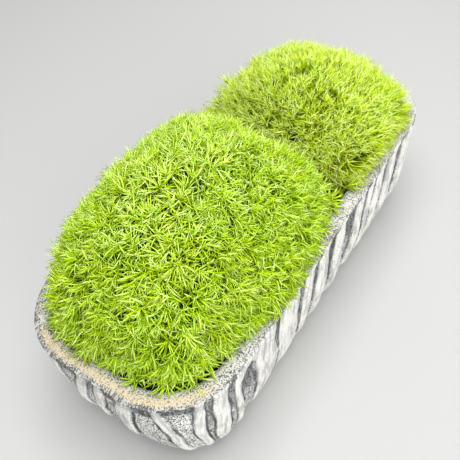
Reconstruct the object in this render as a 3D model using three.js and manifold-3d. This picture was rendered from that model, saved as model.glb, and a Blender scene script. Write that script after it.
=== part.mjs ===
// Preserved moss planter: one cast trough with a ridged wall, a foam block inside it,
// and two cushions of moss that stand on the block and spill over the rim.
// Millimetres, +Z up, +X along the trough, origin at the middle of the flat underside.
import * as THREE from 'three';
import { mergeVertices } from 'three/addons/utils/BufferGeometryUtils.js';
import Module from 'manifold-3d';

const wasm = await Module();
wasm.setup();

// Driving dimensions of the trough
const LENGTH = 240;
const WIDTH = 104;
const HEIGHT = 66;
const CORNER_RADIUS = 36;
const RIM_BREADTH = 9;
const FLOOR_THICKNESS = 10;
const FOOT_TUCK = 10.6; // how far the wall draws in at the foot
const FOOT_TUCK_POWER = 4; // high, so that the wall is upright until low down
const WALL_UNDER_RIM = 9.4; // inset of the inner wall just under the rim
const WALL_AT_FLOOR = 17; // and where it meets the floor
const RIM_ROUNDING = 4; // depth over which the rim turns into the inner wall

// Driving dimensions of the ridges. A place runs along the rim from the middle of the near end.
// A ridge strays from it by its lean halfway down the wall, and by its drift at the foot.
const GROOVE_DEPTH = 3;
const GROOVE_DEPTH_PER_WIDTH = 0.45; // a narrow groove is a shallow one
const GROOVE_SIDE = 1.8; // breadth of a ridge's flank
const BAND_DEPTH = 1.2; // the extra hollow between the ridges, just under the rim
const GROOVE_SIDE_SHARE = 0.3; // the most of a groove's width that one flank takes
const SHOULDER = 0.42; // of a ridge's width, from its middle to the edge of its top
const FIELD_LINE_PITCH = 12; // a field broader than this at the foot has a line more across it
const DRIFT_SHARE = 0.4; // of its lean, at the foot of a ridge on the sides that face away
const ARCH_TOP = 62.5; // where a field that doesn't reach the rim is closed
const ARCH_RISE = 4.5; // the height over which it closes
const RIDGES_SEEN = [
  { place: -22, width: 8, lean: -9, drift: -13 },
  { place: -4, width: 7, lean: -10.5, drift: -16 },
  { place: 5, width: 6, lean: -8, drift: -15 },
  { place: 18, width: 9, lean: -6, drift: -13 },
  { place: 31.5, width: 5, lean: 4.5, drift: 11 },
  { place: 49.5, width: 6.5, lean: -1.5, drift: 3 },
  { place: 61, width: 9, lean: -2, drift: 2 },
  { place: 71, width: 5, lean: -0.5, drift: 3, arched: true },
  { place: 93, width: 17, lean: -1, drift: 0 },
  { place: 114, width: 18, lean: -3, drift: -1 },
  { place: 132.5, width: 9.5, lean: -4.5, drift: -2 },
  { place: 147.5, width: 10.5, lean: -4.5, drift: -2 },
  { place: 163.5, width: 9, lean: -3, drift: -1 },
  { place: 185.5, width: 7.5, lean: -4, drift: -2 },
  { place: 196, width: 6, lean: -4.5, drift: -2 },
  { place: 207.5, width: 8.5, lean: -4, drift: -2 },
];
const RIDGE_PITCH = [13, 19]; // least and most, round the sides that face away
const RIDGE_SHARE = [0.4, 0.6]; // a ridge's share of its pitch
const RIDGE_LEAN = [-7, 3];

// Driving dimensions of the filling
const BLOCK_TOP = 52;
const SEAT_GAP = 0.3; // between pieces that rest on each other
const BLOCK_SIDE_GAP = 0.5;
const MOSS_SIDE_GAP = 0.8; // between the moss and the inner wall
const RIM_CLEARANCE = 1.2; // lowest tip above the rim, with half a leaf's thickness in it
const BODY_OVER_RIM = 0.8; // the body's own gap above the rim
const VALLEY_X = 21.5; // where the two cushions press against each other
const VALLEY_GAP = 0.8;
const VALLEY_FACE = 1.6; // from the valley's middle to the body of either cushion
const SKIRT_TOP = 61.5; // the body fills the trough up to here, out to the wall
const SKIRT_TIPS = 69.5; // leaf tips over the skirt, just above the rim

// Driving dimensions of the moss. The outline is that of the leaf tips.
const LEAF_DEPTH = 7.6; // from the tips down to the felted body
const LEAF_ROOT_DEPTH = 2.4; // how far a leaf is sunk in the body
const LEAF_RADIUS = 0.85; // at the root, of its three-sided section
const LEAVES_PER_SHOOT = 4;
const LEAVES_AT_EDGE = 3;
const SHOOT_SPREAD = 4.6; // from a shoot's middle to its leaf tips
const EDGE_SPACING = 6.6; // between the shoots that rise along the wall
const EDGE_SPREAD = 3.4;
const BODY_LUMPS = 0.9; // how far the felted body is uneven
const CUSHION_FRONT = {
  name: 'moss_mound_front',
  middle: [-43.7, 0.8],
  half: [70.4, 50.5],
  height: 74.7,
  planPower: 3.4,
  domePower: 2,
  side: -1, // the cushion lies on the near side of the valley
  shootSpacing: 9.4,
  seed: 11,
  strays: [],
};
const CUSHION_REAR = {
  name: 'moss_mound_rear',
  middle: [62.8, 1.1],
  half: [57.5, 54.6],
  height: 54.1,
  planPower: 2.8,
  domePower: 1.7,
  side: 1,
  shootSpacing: 9.4,
  seed: 23,
  strays: [
    { at: [50, 50.5, 76], reach: 4.5 },
    { at: [70, 46, 86], reach: 4 },
  ],
};

// Fineness
const BODY_COLUMNS = 30;
const BODY_RINGS = 7;
const BLOCK_COLUMNS = 44;
const CROWN_FLATNESS = 0.5;
const DARTS = 12000; // trial places for the shoots of one cushion

const halfLength = LENGTH / 2;
const halfWidth = WIDTH / 2;
const straightLength = LENGTH - 2 * CORNER_RADIUS;
const straightWidth = WIDTH - 2 * CORNER_RADIUS;
const cornerArc = (Math.PI / 2) * CORNER_RADIUS;
const girth = 2 * straightLength + 2 * straightWidth + 4 * cornerArc;

// A seeded draw between 0 and 1, so that every build is the same
function draws(seed) {
  let state = seed >>> 0;
  return () => {
    state = (state + 0x6d2b79f5) >>> 0;
    let mixed = Math.imul(state ^ (state >>> 15), 1 | state);
    mixed = (mixed + Math.imul(mixed ^ (mixed >>> 7), 61 | mixed)) ^ mixed;
    return ((mixed ^ (mixed >>> 14)) >>> 0) / 4294967296;
  };
}

function between([least, most], draw) {
  return least + (most - least) * draw();
}

// The rounded oblong that all the trough's levels share, set in from the rim by inset
function outlinePoint(place, inset, z) {
  const sides = [straightWidth / 2, straightLength, straightWidth, straightLength, straightWidth / 2];
  const turnsAt = [
    [-1, -1],
    [1, -1],
    [1, 1],
    [-1, 1],
  ];
  const headings = [Math.PI, 1.5 * Math.PI, 2 * Math.PI, 2.5 * Math.PI, 3 * Math.PI];
  let along = ((place % girth) + girth) % girth;
  let x = -halfLength;
  let y = 0;
  for (let side = 0; side < sides.length; side += 1) {
    const facing = headings[side];
    const run = Math.min(along, sides[side]);
    x -= Math.sin(facing) * run;
    y += Math.cos(facing) * run;
    along -= run;
    if (along <= 0 || side === sides.length - 1) {
      return new THREE.Vector3(x - Math.cos(facing) * inset, y - Math.sin(facing) * inset, z);
    }
    const middleX = turnsAt[side][0] * (halfLength - CORNER_RADIUS);
    const middleY = turnsAt[side][1] * (halfWidth - CORNER_RADIUS);
    const turned = facing + Math.min(along, cornerArc) / CORNER_RADIUS;
    if (along < cornerArc) {
      const reach = CORNER_RADIUS - inset;
      return new THREE.Vector3(
        middleX + Math.cos(turned) * reach,
        middleY + Math.sin(turned) * reach,
        z,
      );
    }
    along -= cornerArc;
    x = middleX + Math.cos(turned) * CORNER_RADIUS;
    y = middleY + Math.sin(turned) * CORNER_RADIUS;
  }
  return new THREE.Vector3(x, y, z);
}

// A closed skin over rings of equal count, each ring counterclockwise seen from above,
// with a fan over the first and the last ring
function skinOver(rings) {
  const count = rings[0].length;
  const points = rings.flat();
  const faces = [];
  for (let ring = 0; ring + 1 < rings.length; ring += 1) {
    for (let i = 0; i < count; i += 1) {
      const here = ring * count + i;
      const next = ring * count + ((i + 1) % count);
      faces.push(here, next, next + count, here, next + count, here + count);
    }
  }
  const last = (rings.length - 1) * count;
  const firstMiddle = points.push(ringMiddle(rings[0])) - 1;
  const lastMiddle = points.push(ringMiddle(rings[rings.length - 1])) - 1;
  for (let i = 0; i < count; i += 1) {
    const next = (i + 1) % count;
    faces.push(firstMiddle, next, i, lastMiddle, last + i, last + next);
  }
  return indexedGeometry(points, faces);
}

function ringMiddle(ring) {
  const middle = new THREE.Vector3();
  ring.forEach((point) => middle.add(point));
  return middle.divideScalar(ring.length);
}

function indexedGeometry(points, faces) {
  const geometry = new THREE.BufferGeometry();
  const places = points.flatMap((point) => point.toArray());
  geometry.setAttribute('position', new THREE.Float32BufferAttribute(places, 3));
  geometry.setIndex(faces);
  return geometry;
}

// Joining and cutting
function solidFrom(geometry) {
  const bare = geometry.clone();
  bare.deleteAttribute('normal');
  bare.deleteAttribute('uv');
  const merged = mergeVertices(bare, 1e-5);
  const vertProperties = Float32Array.from(merged.attributes.position.array);
  const triVerts = Uint32Array.from(merged.index.array);
  return new wasm.Manifold(new wasm.Mesh({ numProp: 3, vertProperties, triVerts }));
}

function geometryFrom(solid) {
  const mesh = solid.getMesh();
  const geometry = new THREE.BufferGeometry();
  geometry.setAttribute('position', new THREE.BufferAttribute(Float32Array.from(mesh.vertProperties), 3));
  geometry.setIndex(Array.from(mesh.triVerts));
  return geometry;
}

function namedMesh(name, geometry, look) {
  geometry.computeVertexNormals();
  const mesh = new THREE.Mesh(geometry, new THREE.MeshStandardMaterial({ metalness: 0, ...look }));
  mesh.name = name;
  return mesh;
}

// The ridges round the whole wall: those that show, then the same rhythm on the far sides
function allRidges() {
  const draw = draws(5);
  const ridges = [...RIDGES_SEEN];
  const start = RIDGES_SEEN[RIDGES_SEEN.length - 1].place;
  const unseen = RIDGES_SEEN[0].place + girth - start;
  const count = Math.round((2 * unseen) / (RIDGE_PITCH[0] + RIDGE_PITCH[1])) - 1;
  const even = unseen / (count + 1);
  for (let i = 1; i <= count; i += 1) {
    const pitch = between(RIDGE_PITCH, draw);
    const width = pitch * between(RIDGE_SHARE, draw);
    const lean = between(RIDGE_LEAN, draw);
    ridges.push({ place: start + even * i + (pitch - even) / 3, width, lean, drift: lean * DRIFT_SHARE });
  }
  return ridges;
}

// How far a ridge's middle has strayed at a height: by its lean halfway down, by its drift at the foot
function stray(ridge, z) {
  const halves = (HEIGHT - z) / (HEIGHT / 2);
  return ridge.lean * halves * (2 - halves) + (ridge.drift * halves * (halves - 1)) / 2;
}

// The share of its depth that the field after a ridge has at a height
function fieldShare(ridge, z) {
  return ridge.arched ? THREE.MathUtils.clamp((ARCH_TOP - z) / ARCH_RISE, 0, 1) : 1;
}

// How many lines a field has between its two feet, so that a broad one still follows a corner
function linesAcross(ridge, next) {
  const breadth = next.place + next.drift - ridge.place - ridge.drift - (next.width + ridge.width) / 2;
  return Math.floor(Math.max(breadth, 0) / FIELD_LINE_PITCH);
}

// The lines for each ridge: its two shoulders, its right foot, any across the field, and the
// next ridge's left foot. Each is a place along the girth with its depth below the ridge's top.
function wallLines(ridges, z) {
  return ridges.flatMap((ridge, i) => {
    const last = i === ridges.length - 1;
    const next = last ? { ...ridges[0], place: ridges[0].place + girth } : ridges[i + 1];
    const middle = ridge.place + stray(ridge, z);
    const right = middle + ridge.width / 2;
    const nextLeft = next.place + stray(next, z) - next.width / 2;
    const width = nextLeft - right;
    const flank = Math.min(GROOVE_SIDE, GROOVE_SIDE_SHARE * width);
    const depth = Math.min(GROOVE_DEPTH, GROOVE_DEPTH_PER_WIDTH * width) * fieldShare(ridge, z);
    const steps = linesAcross(ridge, next) + 1;
    const field = Array.from({ length: steps + 1 }, (_, step) => ({
      place: THREE.MathUtils.lerp(right + flank, nextLeft - flank, step / steps),
      depth,
    }));
    return [
      { place: middle - ridge.width * SHOULDER, depth: 0 },
      { place: middle + ridge.width * SHOULDER, depth: 0 },
      ...field,
    ];
  });
}

// The trough's levels, from its underside up the outer wall, over the rim and down inside.
// relief is the share of a groove's depth, band the share of the hollow under the rim, and
// ridgesAt the height at which the ridges' places are taken: inside, they are those of the rim.
function troughLevels() {
  const wall = [0, 7, 22, 38, 51].map((z) => ({ z, relief: Math.min(1, 0.3 + z / 20), band: 0 }));
  const underRim = [
    { z: HEIGHT - 8, relief: 1, band: 0.5 },
    { z: HEIGHT - 3.6, relief: 1, band: 1 },
    { z: HEIGHT - 2, relief: 0.1, band: 0 },
  ];
  const outside = [...wall, ...underRim].map((level) => ({
    ...level,
    ridgesAt: level.z,
    inset: FOOT_TUCK * ((HEIGHT - level.z) / HEIGHT) ** FOOT_TUCK_POWER,
  }));
  const over = [
    { z: HEIGHT - 0.4, inset: 1.4 },
    { z: HEIGHT, inset: RIM_BREADTH * 0.5 },
    { z: HEIGHT - 1, inset: RIM_BREADTH * 0.92 },
    { z: HEIGHT - RIM_ROUNDING, inset: WALL_UNDER_RIM },
    { z: FLOOR_THICKNESS, inset: WALL_AT_FLOOR },
  ];
  return [...outside, ...over.map((level) => ({ ...level, ridgesAt: HEIGHT, relief: 0, band: 0 }))];
}

function innerInset(z) {
  const top = HEIGHT - RIM_ROUNDING;
  return WALL_UNDER_RIM + ((WALL_AT_FLOOR - WALL_UNDER_RIM) * (top - z)) / (top - FLOOR_THICKNESS);
}

function makeTrough() {
  const ridges = allRidges();
  const rings = troughLevels().map(({ z, inset, ridgesAt, relief, band }) =>
    wallLines(ridges, ridgesAt).map((line) => {
      const hollow = line.depth * relief + band * BAND_DEPTH * Math.min(1, line.depth);
      return outlinePoint(line.place, inset + hollow, z);
    }),
  );
  return namedMesh('planter', skinOver(rings), { color: 0xb9b8b3, roughness: 0.92 });
}

function makeBlock() {
  const bottom = FLOOR_THICKNESS + SEAT_GAP;
  const rings = [bottom, BLOCK_TOP].map((z) =>
    Array.from({ length: BLOCK_COLUMNS }, (_, i) =>
      outlinePoint((girth * i) / BLOCK_COLUMNS, innerInset(z) + BLOCK_SIDE_GAP, z),
    ),
  );
  return namedMesh('foam_block', skinOver(rings), { color: 0x4d5a36, roughness: 0.95 });
}

// The rounded plan of a cushion, as a point on its edge at an angle
function planPoint(cushion, angle) {
  const power = 2 / cushion.planPower;
  const c = Math.cos(angle);
  const s = Math.sin(angle);
  return [Math.sign(c) * Math.abs(c) ** power, Math.sign(s) * Math.abs(s) ** power];
}

// A point of the domed outline, drawn in by depth; rise runs from 0 at the foot to 1 at the top
function domePoint(cushion, angle, rise, depth) {
  const [planX, planY] = planPoint(cushion, angle);
  const breadth = (1 - rise ** cushion.domePower) ** (1 / cushion.domePower);
  return new THREE.Vector3(
    cushion.middle[0] + (cushion.half[0] - depth) * breadth * planX,
    cushion.middle[1] + (cushion.half[1] - depth) * breadth * planY,
    BLOCK_TOP + (cushion.height - depth) * rise,
  );
}

// Under 1 inside the dome that is drawn in by depth, over 1 outside it
function domeMeasure(cushion, point, depth) {
  const { planPower, domePower } = cushion;
  const dx = Math.abs(point.x - cushion.middle[0]) / (cushion.half[0] - depth);
  const dy = Math.abs(point.y - cushion.middle[1]) / (cushion.half[1] - depth);
  const dz = Math.max(point.z - BLOCK_TOP, 0) / (cushion.height - depth);
  return (dx ** planPower + dy ** planPower) ** (domePower / planPower) + dz ** domePower;
}

function domeNormal(cushion, point) {
  const step = 0.05;
  const slope = ['x', 'y', 'z'].map((axis) => {
    const ahead = point.clone();
    const behind = point.clone();
    ahead[axis] += step;
    behind[axis] -= step;
    return domeMeasure(cushion, ahead, 0) - domeMeasure(cushion, behind, 0);
  });
  return new THREE.Vector3(...slope).normalize();
}

// The felted body under the leaves: the drawn-in dome and, inside the trough, a skirt that
// fills it out to the wall, both level below and cut at the valley
function cushionBody(cushion, draw) {
  const room = troughFill(BLOCK_TOP, HEIGHT - RIM_ROUNDING).add(airOverRim());
  const skirt = troughFill(BLOCK_TOP + SEAT_GAP, SKIRT_TOP);
  return bodyDome(cushion, draw).intersect(room).add(skirt).intersect(sideOfValley(cushion));
}

function bodyDome(cushion, draw) {
  const top = BLOCK_TOP + cushion.height - LEAF_DEPTH;
  const rings = Array.from({ length: BODY_RINGS }, (_, ring) => {
    const rise = Math.sin((ring / BODY_RINGS) * (Math.PI / 2));
    return Array.from({ length: BODY_COLUMNS }, (__, i) => {
      const angle = ((i + 0.5) / BODY_COLUMNS) * 2 * Math.PI;
      const point = domePoint(cushion, angle, rise, LEAF_DEPTH + BODY_LUMPS * (2 * draw() - 1));
      point.z = Math.max(point.z, BLOCK_TOP + SEAT_GAP);
      return point;
    });
  });
  const crown = new THREE.Vector3(...cushion.middle, top);
  rings.push(rings[BODY_RINGS - 1].map((point) => point.clone().lerp(crown, 0.7)));
  rings[BODY_RINGS].forEach((point) => {
    point.z = top - CROWN_FLATNESS;
  });
  return solidFrom(skinOver(rings));
}

// The space inside the inner wall between two heights. One that reaches the rim's rounding
// goes straight on up, past the rim.
function troughFill(low, high) {
  const rings = [low, high].map((z) =>
    Array.from({ length: BLOCK_COLUMNS }, (_, i) =>
      outlinePoint((girth * i) / BLOCK_COLUMNS, innerInset(z) + MOSS_SIDE_GAP, z),
    ),
  );
  const crest = rings[1].map((point) => point.clone().setZ(HEIGHT + RIM_CLEARANCE));
  return solidFrom(skinOver(high < HEIGHT - RIM_ROUNDING ? rings : [...rings, crest]));
}

function airOverRim() {
  const air = new THREE.BoxGeometry(2 * LENGTH, 2 * WIDTH, LENGTH);
  air.translate(0, 0, HEIGHT + BODY_OVER_RIM + LENGTH / 2);
  return solidFrom(air);
}

function sideOfValley(cushion) {
  const box = new THREE.BoxGeometry(2 * LENGTH, 2 * WIDTH, 2 * LENGTH);
  box.translate(VALLEY_X + cushion.side * (LENGTH + VALLEY_FACE), 0, 0);
  return solidFrom(box);
}

// Whether a leaf's root is well inside the felted body
function rootHolds(cushion, root) {
  const sunk = LEAF_ROOT_DEPTH * 0.6;
  const fromWall = insetAt(root) - innerInset(root.z) - MOSS_SIDE_GAP;
  const inSkirt = root.z < SKIRT_TOP - sunk && fromWall > sunk;
  const overRim = root.z > HEIGHT + RIM_CLEARANCE + LEAF_ROOT_DEPTH / 3;
  const inDome = overRim && domeMeasure(cushion, root, LEAF_DEPTH + sunk) < 1;
  return inSkirt || inDome;
}

// How far inside the trough's outer edge a point lies, seen from above
function insetAt(point) {
  const x = Math.abs(point.x) - (halfLength - CORNER_RADIUS);
  const y = Math.abs(point.y) - (halfWidth - CORNER_RADIUS);
  const corner = Math.hypot(Math.max(x, 0), Math.max(y, 0));
  return CORNER_RADIUS - (x > 0 && y > 0 ? corner : Math.max(x, y));
}

// Keeps a leaf's tip above the rim and on its own side of the valley
function clearTip(cushion, tip) {
  tip.z = Math.max(tip.z, HEIGHT + RIM_CLEARANCE);
  const limit = VALLEY_X + (cushion.side * VALLEY_GAP) / 2 + cushion.side * LEAF_RADIUS * 0.5;
  tip.x = cushion.side < 0 ? Math.min(tip.x, limit) : Math.max(tip.x, limit);
  return tip;
}

// Of trial places, those that stand clear of every one kept before
function thinnedOut(trials, spacing) {
  const kept = [];
  trials.forEach((place) => {
    if (kept.every((other) => other.distanceTo(place) > spacing)) kept.push(place);
  });
  return kept;
}

function onOwnSide(cushion, place) {
  return cushion.side * (place.x - VALLEY_X) > 1;
}

// Places for the shoots: random trials over the dome
function domeShoots(cushion, draw) {
  const trials = Array.from({ length: DARTS }, () => {
    const rise = Math.sin((draw() * Math.PI) / 2);
    return domePoint(cushion, draw() * 2 * Math.PI, rise, 0);
  });
  const standing = trials.filter((place) => place.z > HEIGHT + RIM_CLEARANCE && onOwnSide(cushion, place));
  return thinnedOut(standing, cushion.shootSpacing);
}

// Places for the shoots that rise from the skirt, between the dome's edge and the wall
function edgeShoots(cushion, draw) {
  const leastInset = innerInset(SKIRT_TOP) + MOSS_SIDE_GAP + 2 * LEAF_RADIUS;
  const trials = Array.from({ length: DARTS }, () => {
    return new THREE.Vector3((draw() - 0.5) * LENGTH, (draw() - 0.5) * WIDTH, SKIRT_TIPS);
  });
  const standing = trials.filter((place) => {
    const outsideBody = domeMeasure(cushion, place, LEAF_DEPTH * 0.8) > 1;
    return outsideBody && insetAt(place) > leastInset && onOwnSide(cushion, place);
  });
  return thinnedOut(standing, EDGE_SPACING);
}

// One leaf: a slim three-sided spike from its sunk root to its tip
function leafSolid(root, tip, turn) {
  const way = tip.clone().sub(root).normalize();
  const across = new THREE.Vector3(0, 0, 1).cross(way);
  if (across.length() < 0.1) across.set(1, 0, 0);
  across.normalize();
  const corners = [0, 1, 2].map((i) => {
    const arm = across.clone().applyAxisAngle(way, turn + (i * 2 * Math.PI) / 3);
    return root.clone().addScaledVector(arm, LEAF_RADIUS);
  });
  return solidFrom(indexedGeometry([...corners, tip], [0, 2, 1, 0, 1, 3, 1, 2, 3, 2, 0, 3]));
}

// Where the leaves of a shoot on the dome meet, under the surface of the body
function domeRoot(cushion, middle, normal) {
  const root = middle.clone().addScaledVector(normal, -(LEAF_DEPTH + LEAF_ROOT_DEPTH));
  const leastFromValley = VALLEY_FACE + LEAF_ROOT_DEPTH * 0.6;
  if (cushion.side * (root.x - VALLEY_X) < leastFromValley) {
    root.x = VALLEY_X + cushion.side * leastFromValley;
  }
  root.z = Math.max(root.z, HEIGHT + RIM_CLEARANCE + LEAF_ROOT_DEPTH / 2);
  return root;
}

// The leaves of one shoot spread like a star from their root
function star(cushion, shoot, draw) {
  const { root, middle, normal, reach, leaves } = shoot;
  if (!rootHolds(cushion, root)) return [];
  const across = new THREE.Vector3(0, 0, 1).cross(normal);
  if (across.length() < 0.05) across.set(1, 0, 0);
  across.normalize();
  const start = draw() * 2 * Math.PI;
  return Array.from({ length: leaves }, (_, i) => {
    const angle = start + ((i + 0.5 * (draw() - 0.5)) * 2 * Math.PI) / leaves;
    const spread = reach * (0.8 + 0.4 * draw());
    const arm = across.clone().applyAxisAngle(normal, angle).multiplyScalar(spread);
    const tip = middle.clone().add(arm).addScaledVector(normal, 1.2 * (draw() - 0.75));
    return leafSolid(root, clearTip(cushion, tip), i);
  });
}

function domeStar(cushion, middle, reach, draw) {
  const normal = domeNormal(cushion, middle);
  const root = domeRoot(cushion, middle, normal);
  return star(cushion, { root, middle, normal, reach, leaves: LEAVES_PER_SHOOT }, draw);
}

function edgeStar(cushion, middle, draw) {
  const root = middle.clone().setZ(SKIRT_TOP - LEAF_ROOT_DEPTH);
  const normal = new THREE.Vector3(0, 0, 1);
  return star(cushion, { root, middle, normal, reach: EDGE_SPREAD, leaves: LEAVES_AT_EDGE }, draw);
}

function makeCushion(cushion, look) {
  const draw = draws(cushion.seed);
  const leaves = [
    ...domeShoots(cushion, draw).flatMap((place) => domeStar(cushion, place, SHOOT_SPREAD, draw)),
    ...edgeShoots(cushion, draw).flatMap((place) => edgeStar(cushion, place, draw)),
    ...cushion.strays.flatMap(({ at, reach }) => domeStar(cushion, new THREE.Vector3(...at), reach, draw)),
  ];
  const solid = leaves.reduce((whole, leaf) => whole.add(leaf), cushionBody(cushion, draw));
  return namedMesh(cushion.name, geometryFrom(solid), look);
}

const group = new THREE.Group();
group.add(makeTrough());
group.add(makeBlock());
group.add(makeCushion(CUSHION_FRONT, { color: 0x86b81f, roughness: 0.75 }));
group.add(makeCushion(CUSHION_REAR, { color: 0x8aa023, roughness: 0.8 }));

export default group;
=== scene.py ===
"""The looks of the preserved moss planter: a whitewashed cast trough and two cushions of moss.

Metres, +Z up. The trough stands on z = 0 with its length along X, as the frame has it.
"""

import logging
import math
from collections.abc import Iterator
from dataclasses import asdict, dataclass
from enum import Enum
from functools import partialmethod

import bpy
import numpy as np
from mathutils import Matrix, Vector, noise


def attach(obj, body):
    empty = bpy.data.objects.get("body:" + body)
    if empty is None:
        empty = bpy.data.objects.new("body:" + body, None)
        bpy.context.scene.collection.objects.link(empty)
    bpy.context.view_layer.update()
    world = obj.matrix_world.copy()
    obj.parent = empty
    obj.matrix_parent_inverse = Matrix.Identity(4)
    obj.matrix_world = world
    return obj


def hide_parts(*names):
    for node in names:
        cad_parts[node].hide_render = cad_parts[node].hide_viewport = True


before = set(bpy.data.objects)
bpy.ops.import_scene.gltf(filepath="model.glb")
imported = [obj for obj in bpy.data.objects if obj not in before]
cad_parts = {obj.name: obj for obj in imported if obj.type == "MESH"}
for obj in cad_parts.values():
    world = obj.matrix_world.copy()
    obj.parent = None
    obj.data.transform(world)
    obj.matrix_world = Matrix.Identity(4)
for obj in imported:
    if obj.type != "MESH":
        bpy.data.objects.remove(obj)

LOG = logging.getLogger("moss_planter")
MM = 0.001
BODY = "root"
PHOTO_PIXELS = 460
GOLDEN_ANGLE = math.pi * (3 - math.sqrt(5))
X_AXIS = (1.0, 0.0, 0.0)
Y_AXIS = (0.0, 1.0, 0.0)
UP = (0.0, 0.0, 1.0)
VECTOR = "FLOAT_VECTOR"
CEMENT_ZONES = ("crest", "line", "shade", "hollow", "edge", "bare", "rim", "sand", "flow")
RAGGEDNESS = {"line": 0.5, "hollow": 0.8, "rim": 1.1, "sand": 1.2}
SPARE_VALUES = (
    "shoot_axis", "shoot_slope", "shoot_size", "shoot_turn", "shoot_sweep", "turn_index", "leaf_way",
    "leaf_away", "leaf_size", "cover", "vigour",
)

Array = np.ndarray
Material = bpy.types.Material
Object = bpy.types.Object
Socket = bpy.types.NodeSocket
Triple = tuple[float, float, float]
Span = tuple[float, float]


class Slot(Enum):
    """Names of the material slots for the scene's own pieces."""

    CEMENT = "cast_cement"
    MOSS_BRIGHT = "moss_bright"
    MOSS_OLIVE = "moss_olive"


class Node(Enum):
    """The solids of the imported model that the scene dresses."""

    PLANTER = "planter"
    FOAM_BLOCK = "foam_block"
    MOSS_FRONT = "moss_mound_front"
    MOSS_REAR = "moss_mound_rear"


@dataclass(frozen=True)
class Value:
    """A number, vector or colour in a node tree; its operators and methods add nodes to the tree."""

    sheet: "NodeSheet"
    socket: Socket

    def __getitem__(self, key: str | int) -> "Value":
        """Another output of the same node."""
        return Value(self.sheet, self.socket.node.outputs[key])

    def math(self, operation: str, *others: "Feed") -> "Value":
        """Reckons with numbers, or with vectors where one of the values is a vector.

        Args:
            operation: The operation of the Math or Vector Math node.
            others: Its inputs after this value.

        Returns:
            The result.
        """
        feeds = (self, *others)
        kind = "ShaderNodeVectorMath" if any(is_vector(feed) for feed in feeds) else "ShaderNodeMath"
        return self.sheet.add(kind, dict(enumerate(feeds)), operation=operation)

    __add__ = partialmethod(math, "ADD")
    __sub__ = partialmethod(math, "SUBTRACT")
    __truediv__ = partialmethod(math, "DIVIDE")
    above = partialmethod(math, "GREATER_THAN")
    at_least = partialmethod(math, "MAXIMUM")
    at_most = partialmethod(math, "MINIMUM")
    unit = partialmethod(math, "NORMALIZE")

    def __rsub__(self, other: float) -> "Value":
        """What is left of a plain number."""
        return self * -1.0 + other

    def __mul__(self, other: "Feed") -> "Value":
        """The product, or a vector scaled by a number.

        Args:
            other: The other factor.

        Returns:
            The product.
        """
        if is_vector(self) == is_vector(other):
            return self.math("MULTIPLY", other)
        vector, number = (self, other) if is_vector(self) else (other, self)
        return self.sheet.add("ShaderNodeVectorMath", {0: vector, 3: number}, operation="SCALE")

    __rmul__ = __mul__

    def parts(self) -> list["Value"]:
        """The vector's x, y and z."""
        split = self.sheet.add("ShaderNodeSeparateXYZ", {0: self})
        return [split[index] for index in range(3)]

    def span(self, low: "Feed", high: "Feed", to: tuple = (0.0, 1.0), smooth: bool = False) -> "Value":
        """Maps one span of numbers to another, clamped.

        Args:
            low: Where the first span starts.
            high: Where it ends.
            to: The second span.
            smooth: Whether to ease in and out.

        Returns:
            The mapped number.
        """
        feeds = dict(enumerate((self, low, high, *to)))
        kind = "SMOOTHSTEP" if smooth else "LINEAR"
        return self.sheet.add("ShaderNodeMapRange", feeds, interpolation_type=kind, clamp=True)

    def blend(self, under: "Feed", over: "Feed") -> "Value":
        """Mixes two colours, with this number as the share of the second."""
        return self.sheet.add("ShaderNodeMix", {0: self, 6: under, 7: over}, data_type="RGBA")[2]


Feed = Value | float | int | bool | str | tuple | Material


def is_vector(feed: Feed) -> bool:
    """Whether a feed is a vector or a colour."""
    return isinstance(feed, tuple) or isinstance(feed, Value) and feed.socket.type in ("VECTOR", "RGBA")


class NodeSheet:
    """Adds nodes to one tree, shader or geometry, and wires them as it goes."""

    def __init__(self, tree: bpy.types.NodeTree) -> None:
        """Holds the tree."""
        self.tree = tree

    def add(self, kind: str, feeds: dict | None = None, **settings: object) -> Value:
        """Adds one node.

        Args:
            kind: The node's type.
            feeds: What goes into its inputs, by name or number.
            settings: The node's own properties.

        Returns:
            Its first output, which leads to the others.
        """
        node = self.tree.nodes.new(kind)
        for name, setting in settings.items():
            setattr(node, name, setting)
        for key, feed in (feeds or {}).items():
            self.feed(node.inputs[key], feed)
        return Value(self, node.outputs[0])

    def feed(self, socket: Socket, feed: Feed) -> None:
        """Links an input to a value of the tree, or sets its own, a colour with a fourth number.

        Args:
            socket: The input.
            feed: What goes in.
        """
        if isinstance(feed, Value):
            self.tree.links.new(feed.socket, socket)
        else:
            socket.default_value = (*feed, 1.0) if socket.type == "RGBA" else feed

    def lerp(self, share: Feed, first: Feed, second: Feed) -> Value:
        """Mixes two numbers by the share of the second."""
        return self.add("ShaderNodeMix", {0: share, 2: first, 3: second}, data_type="FLOAT")


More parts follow.
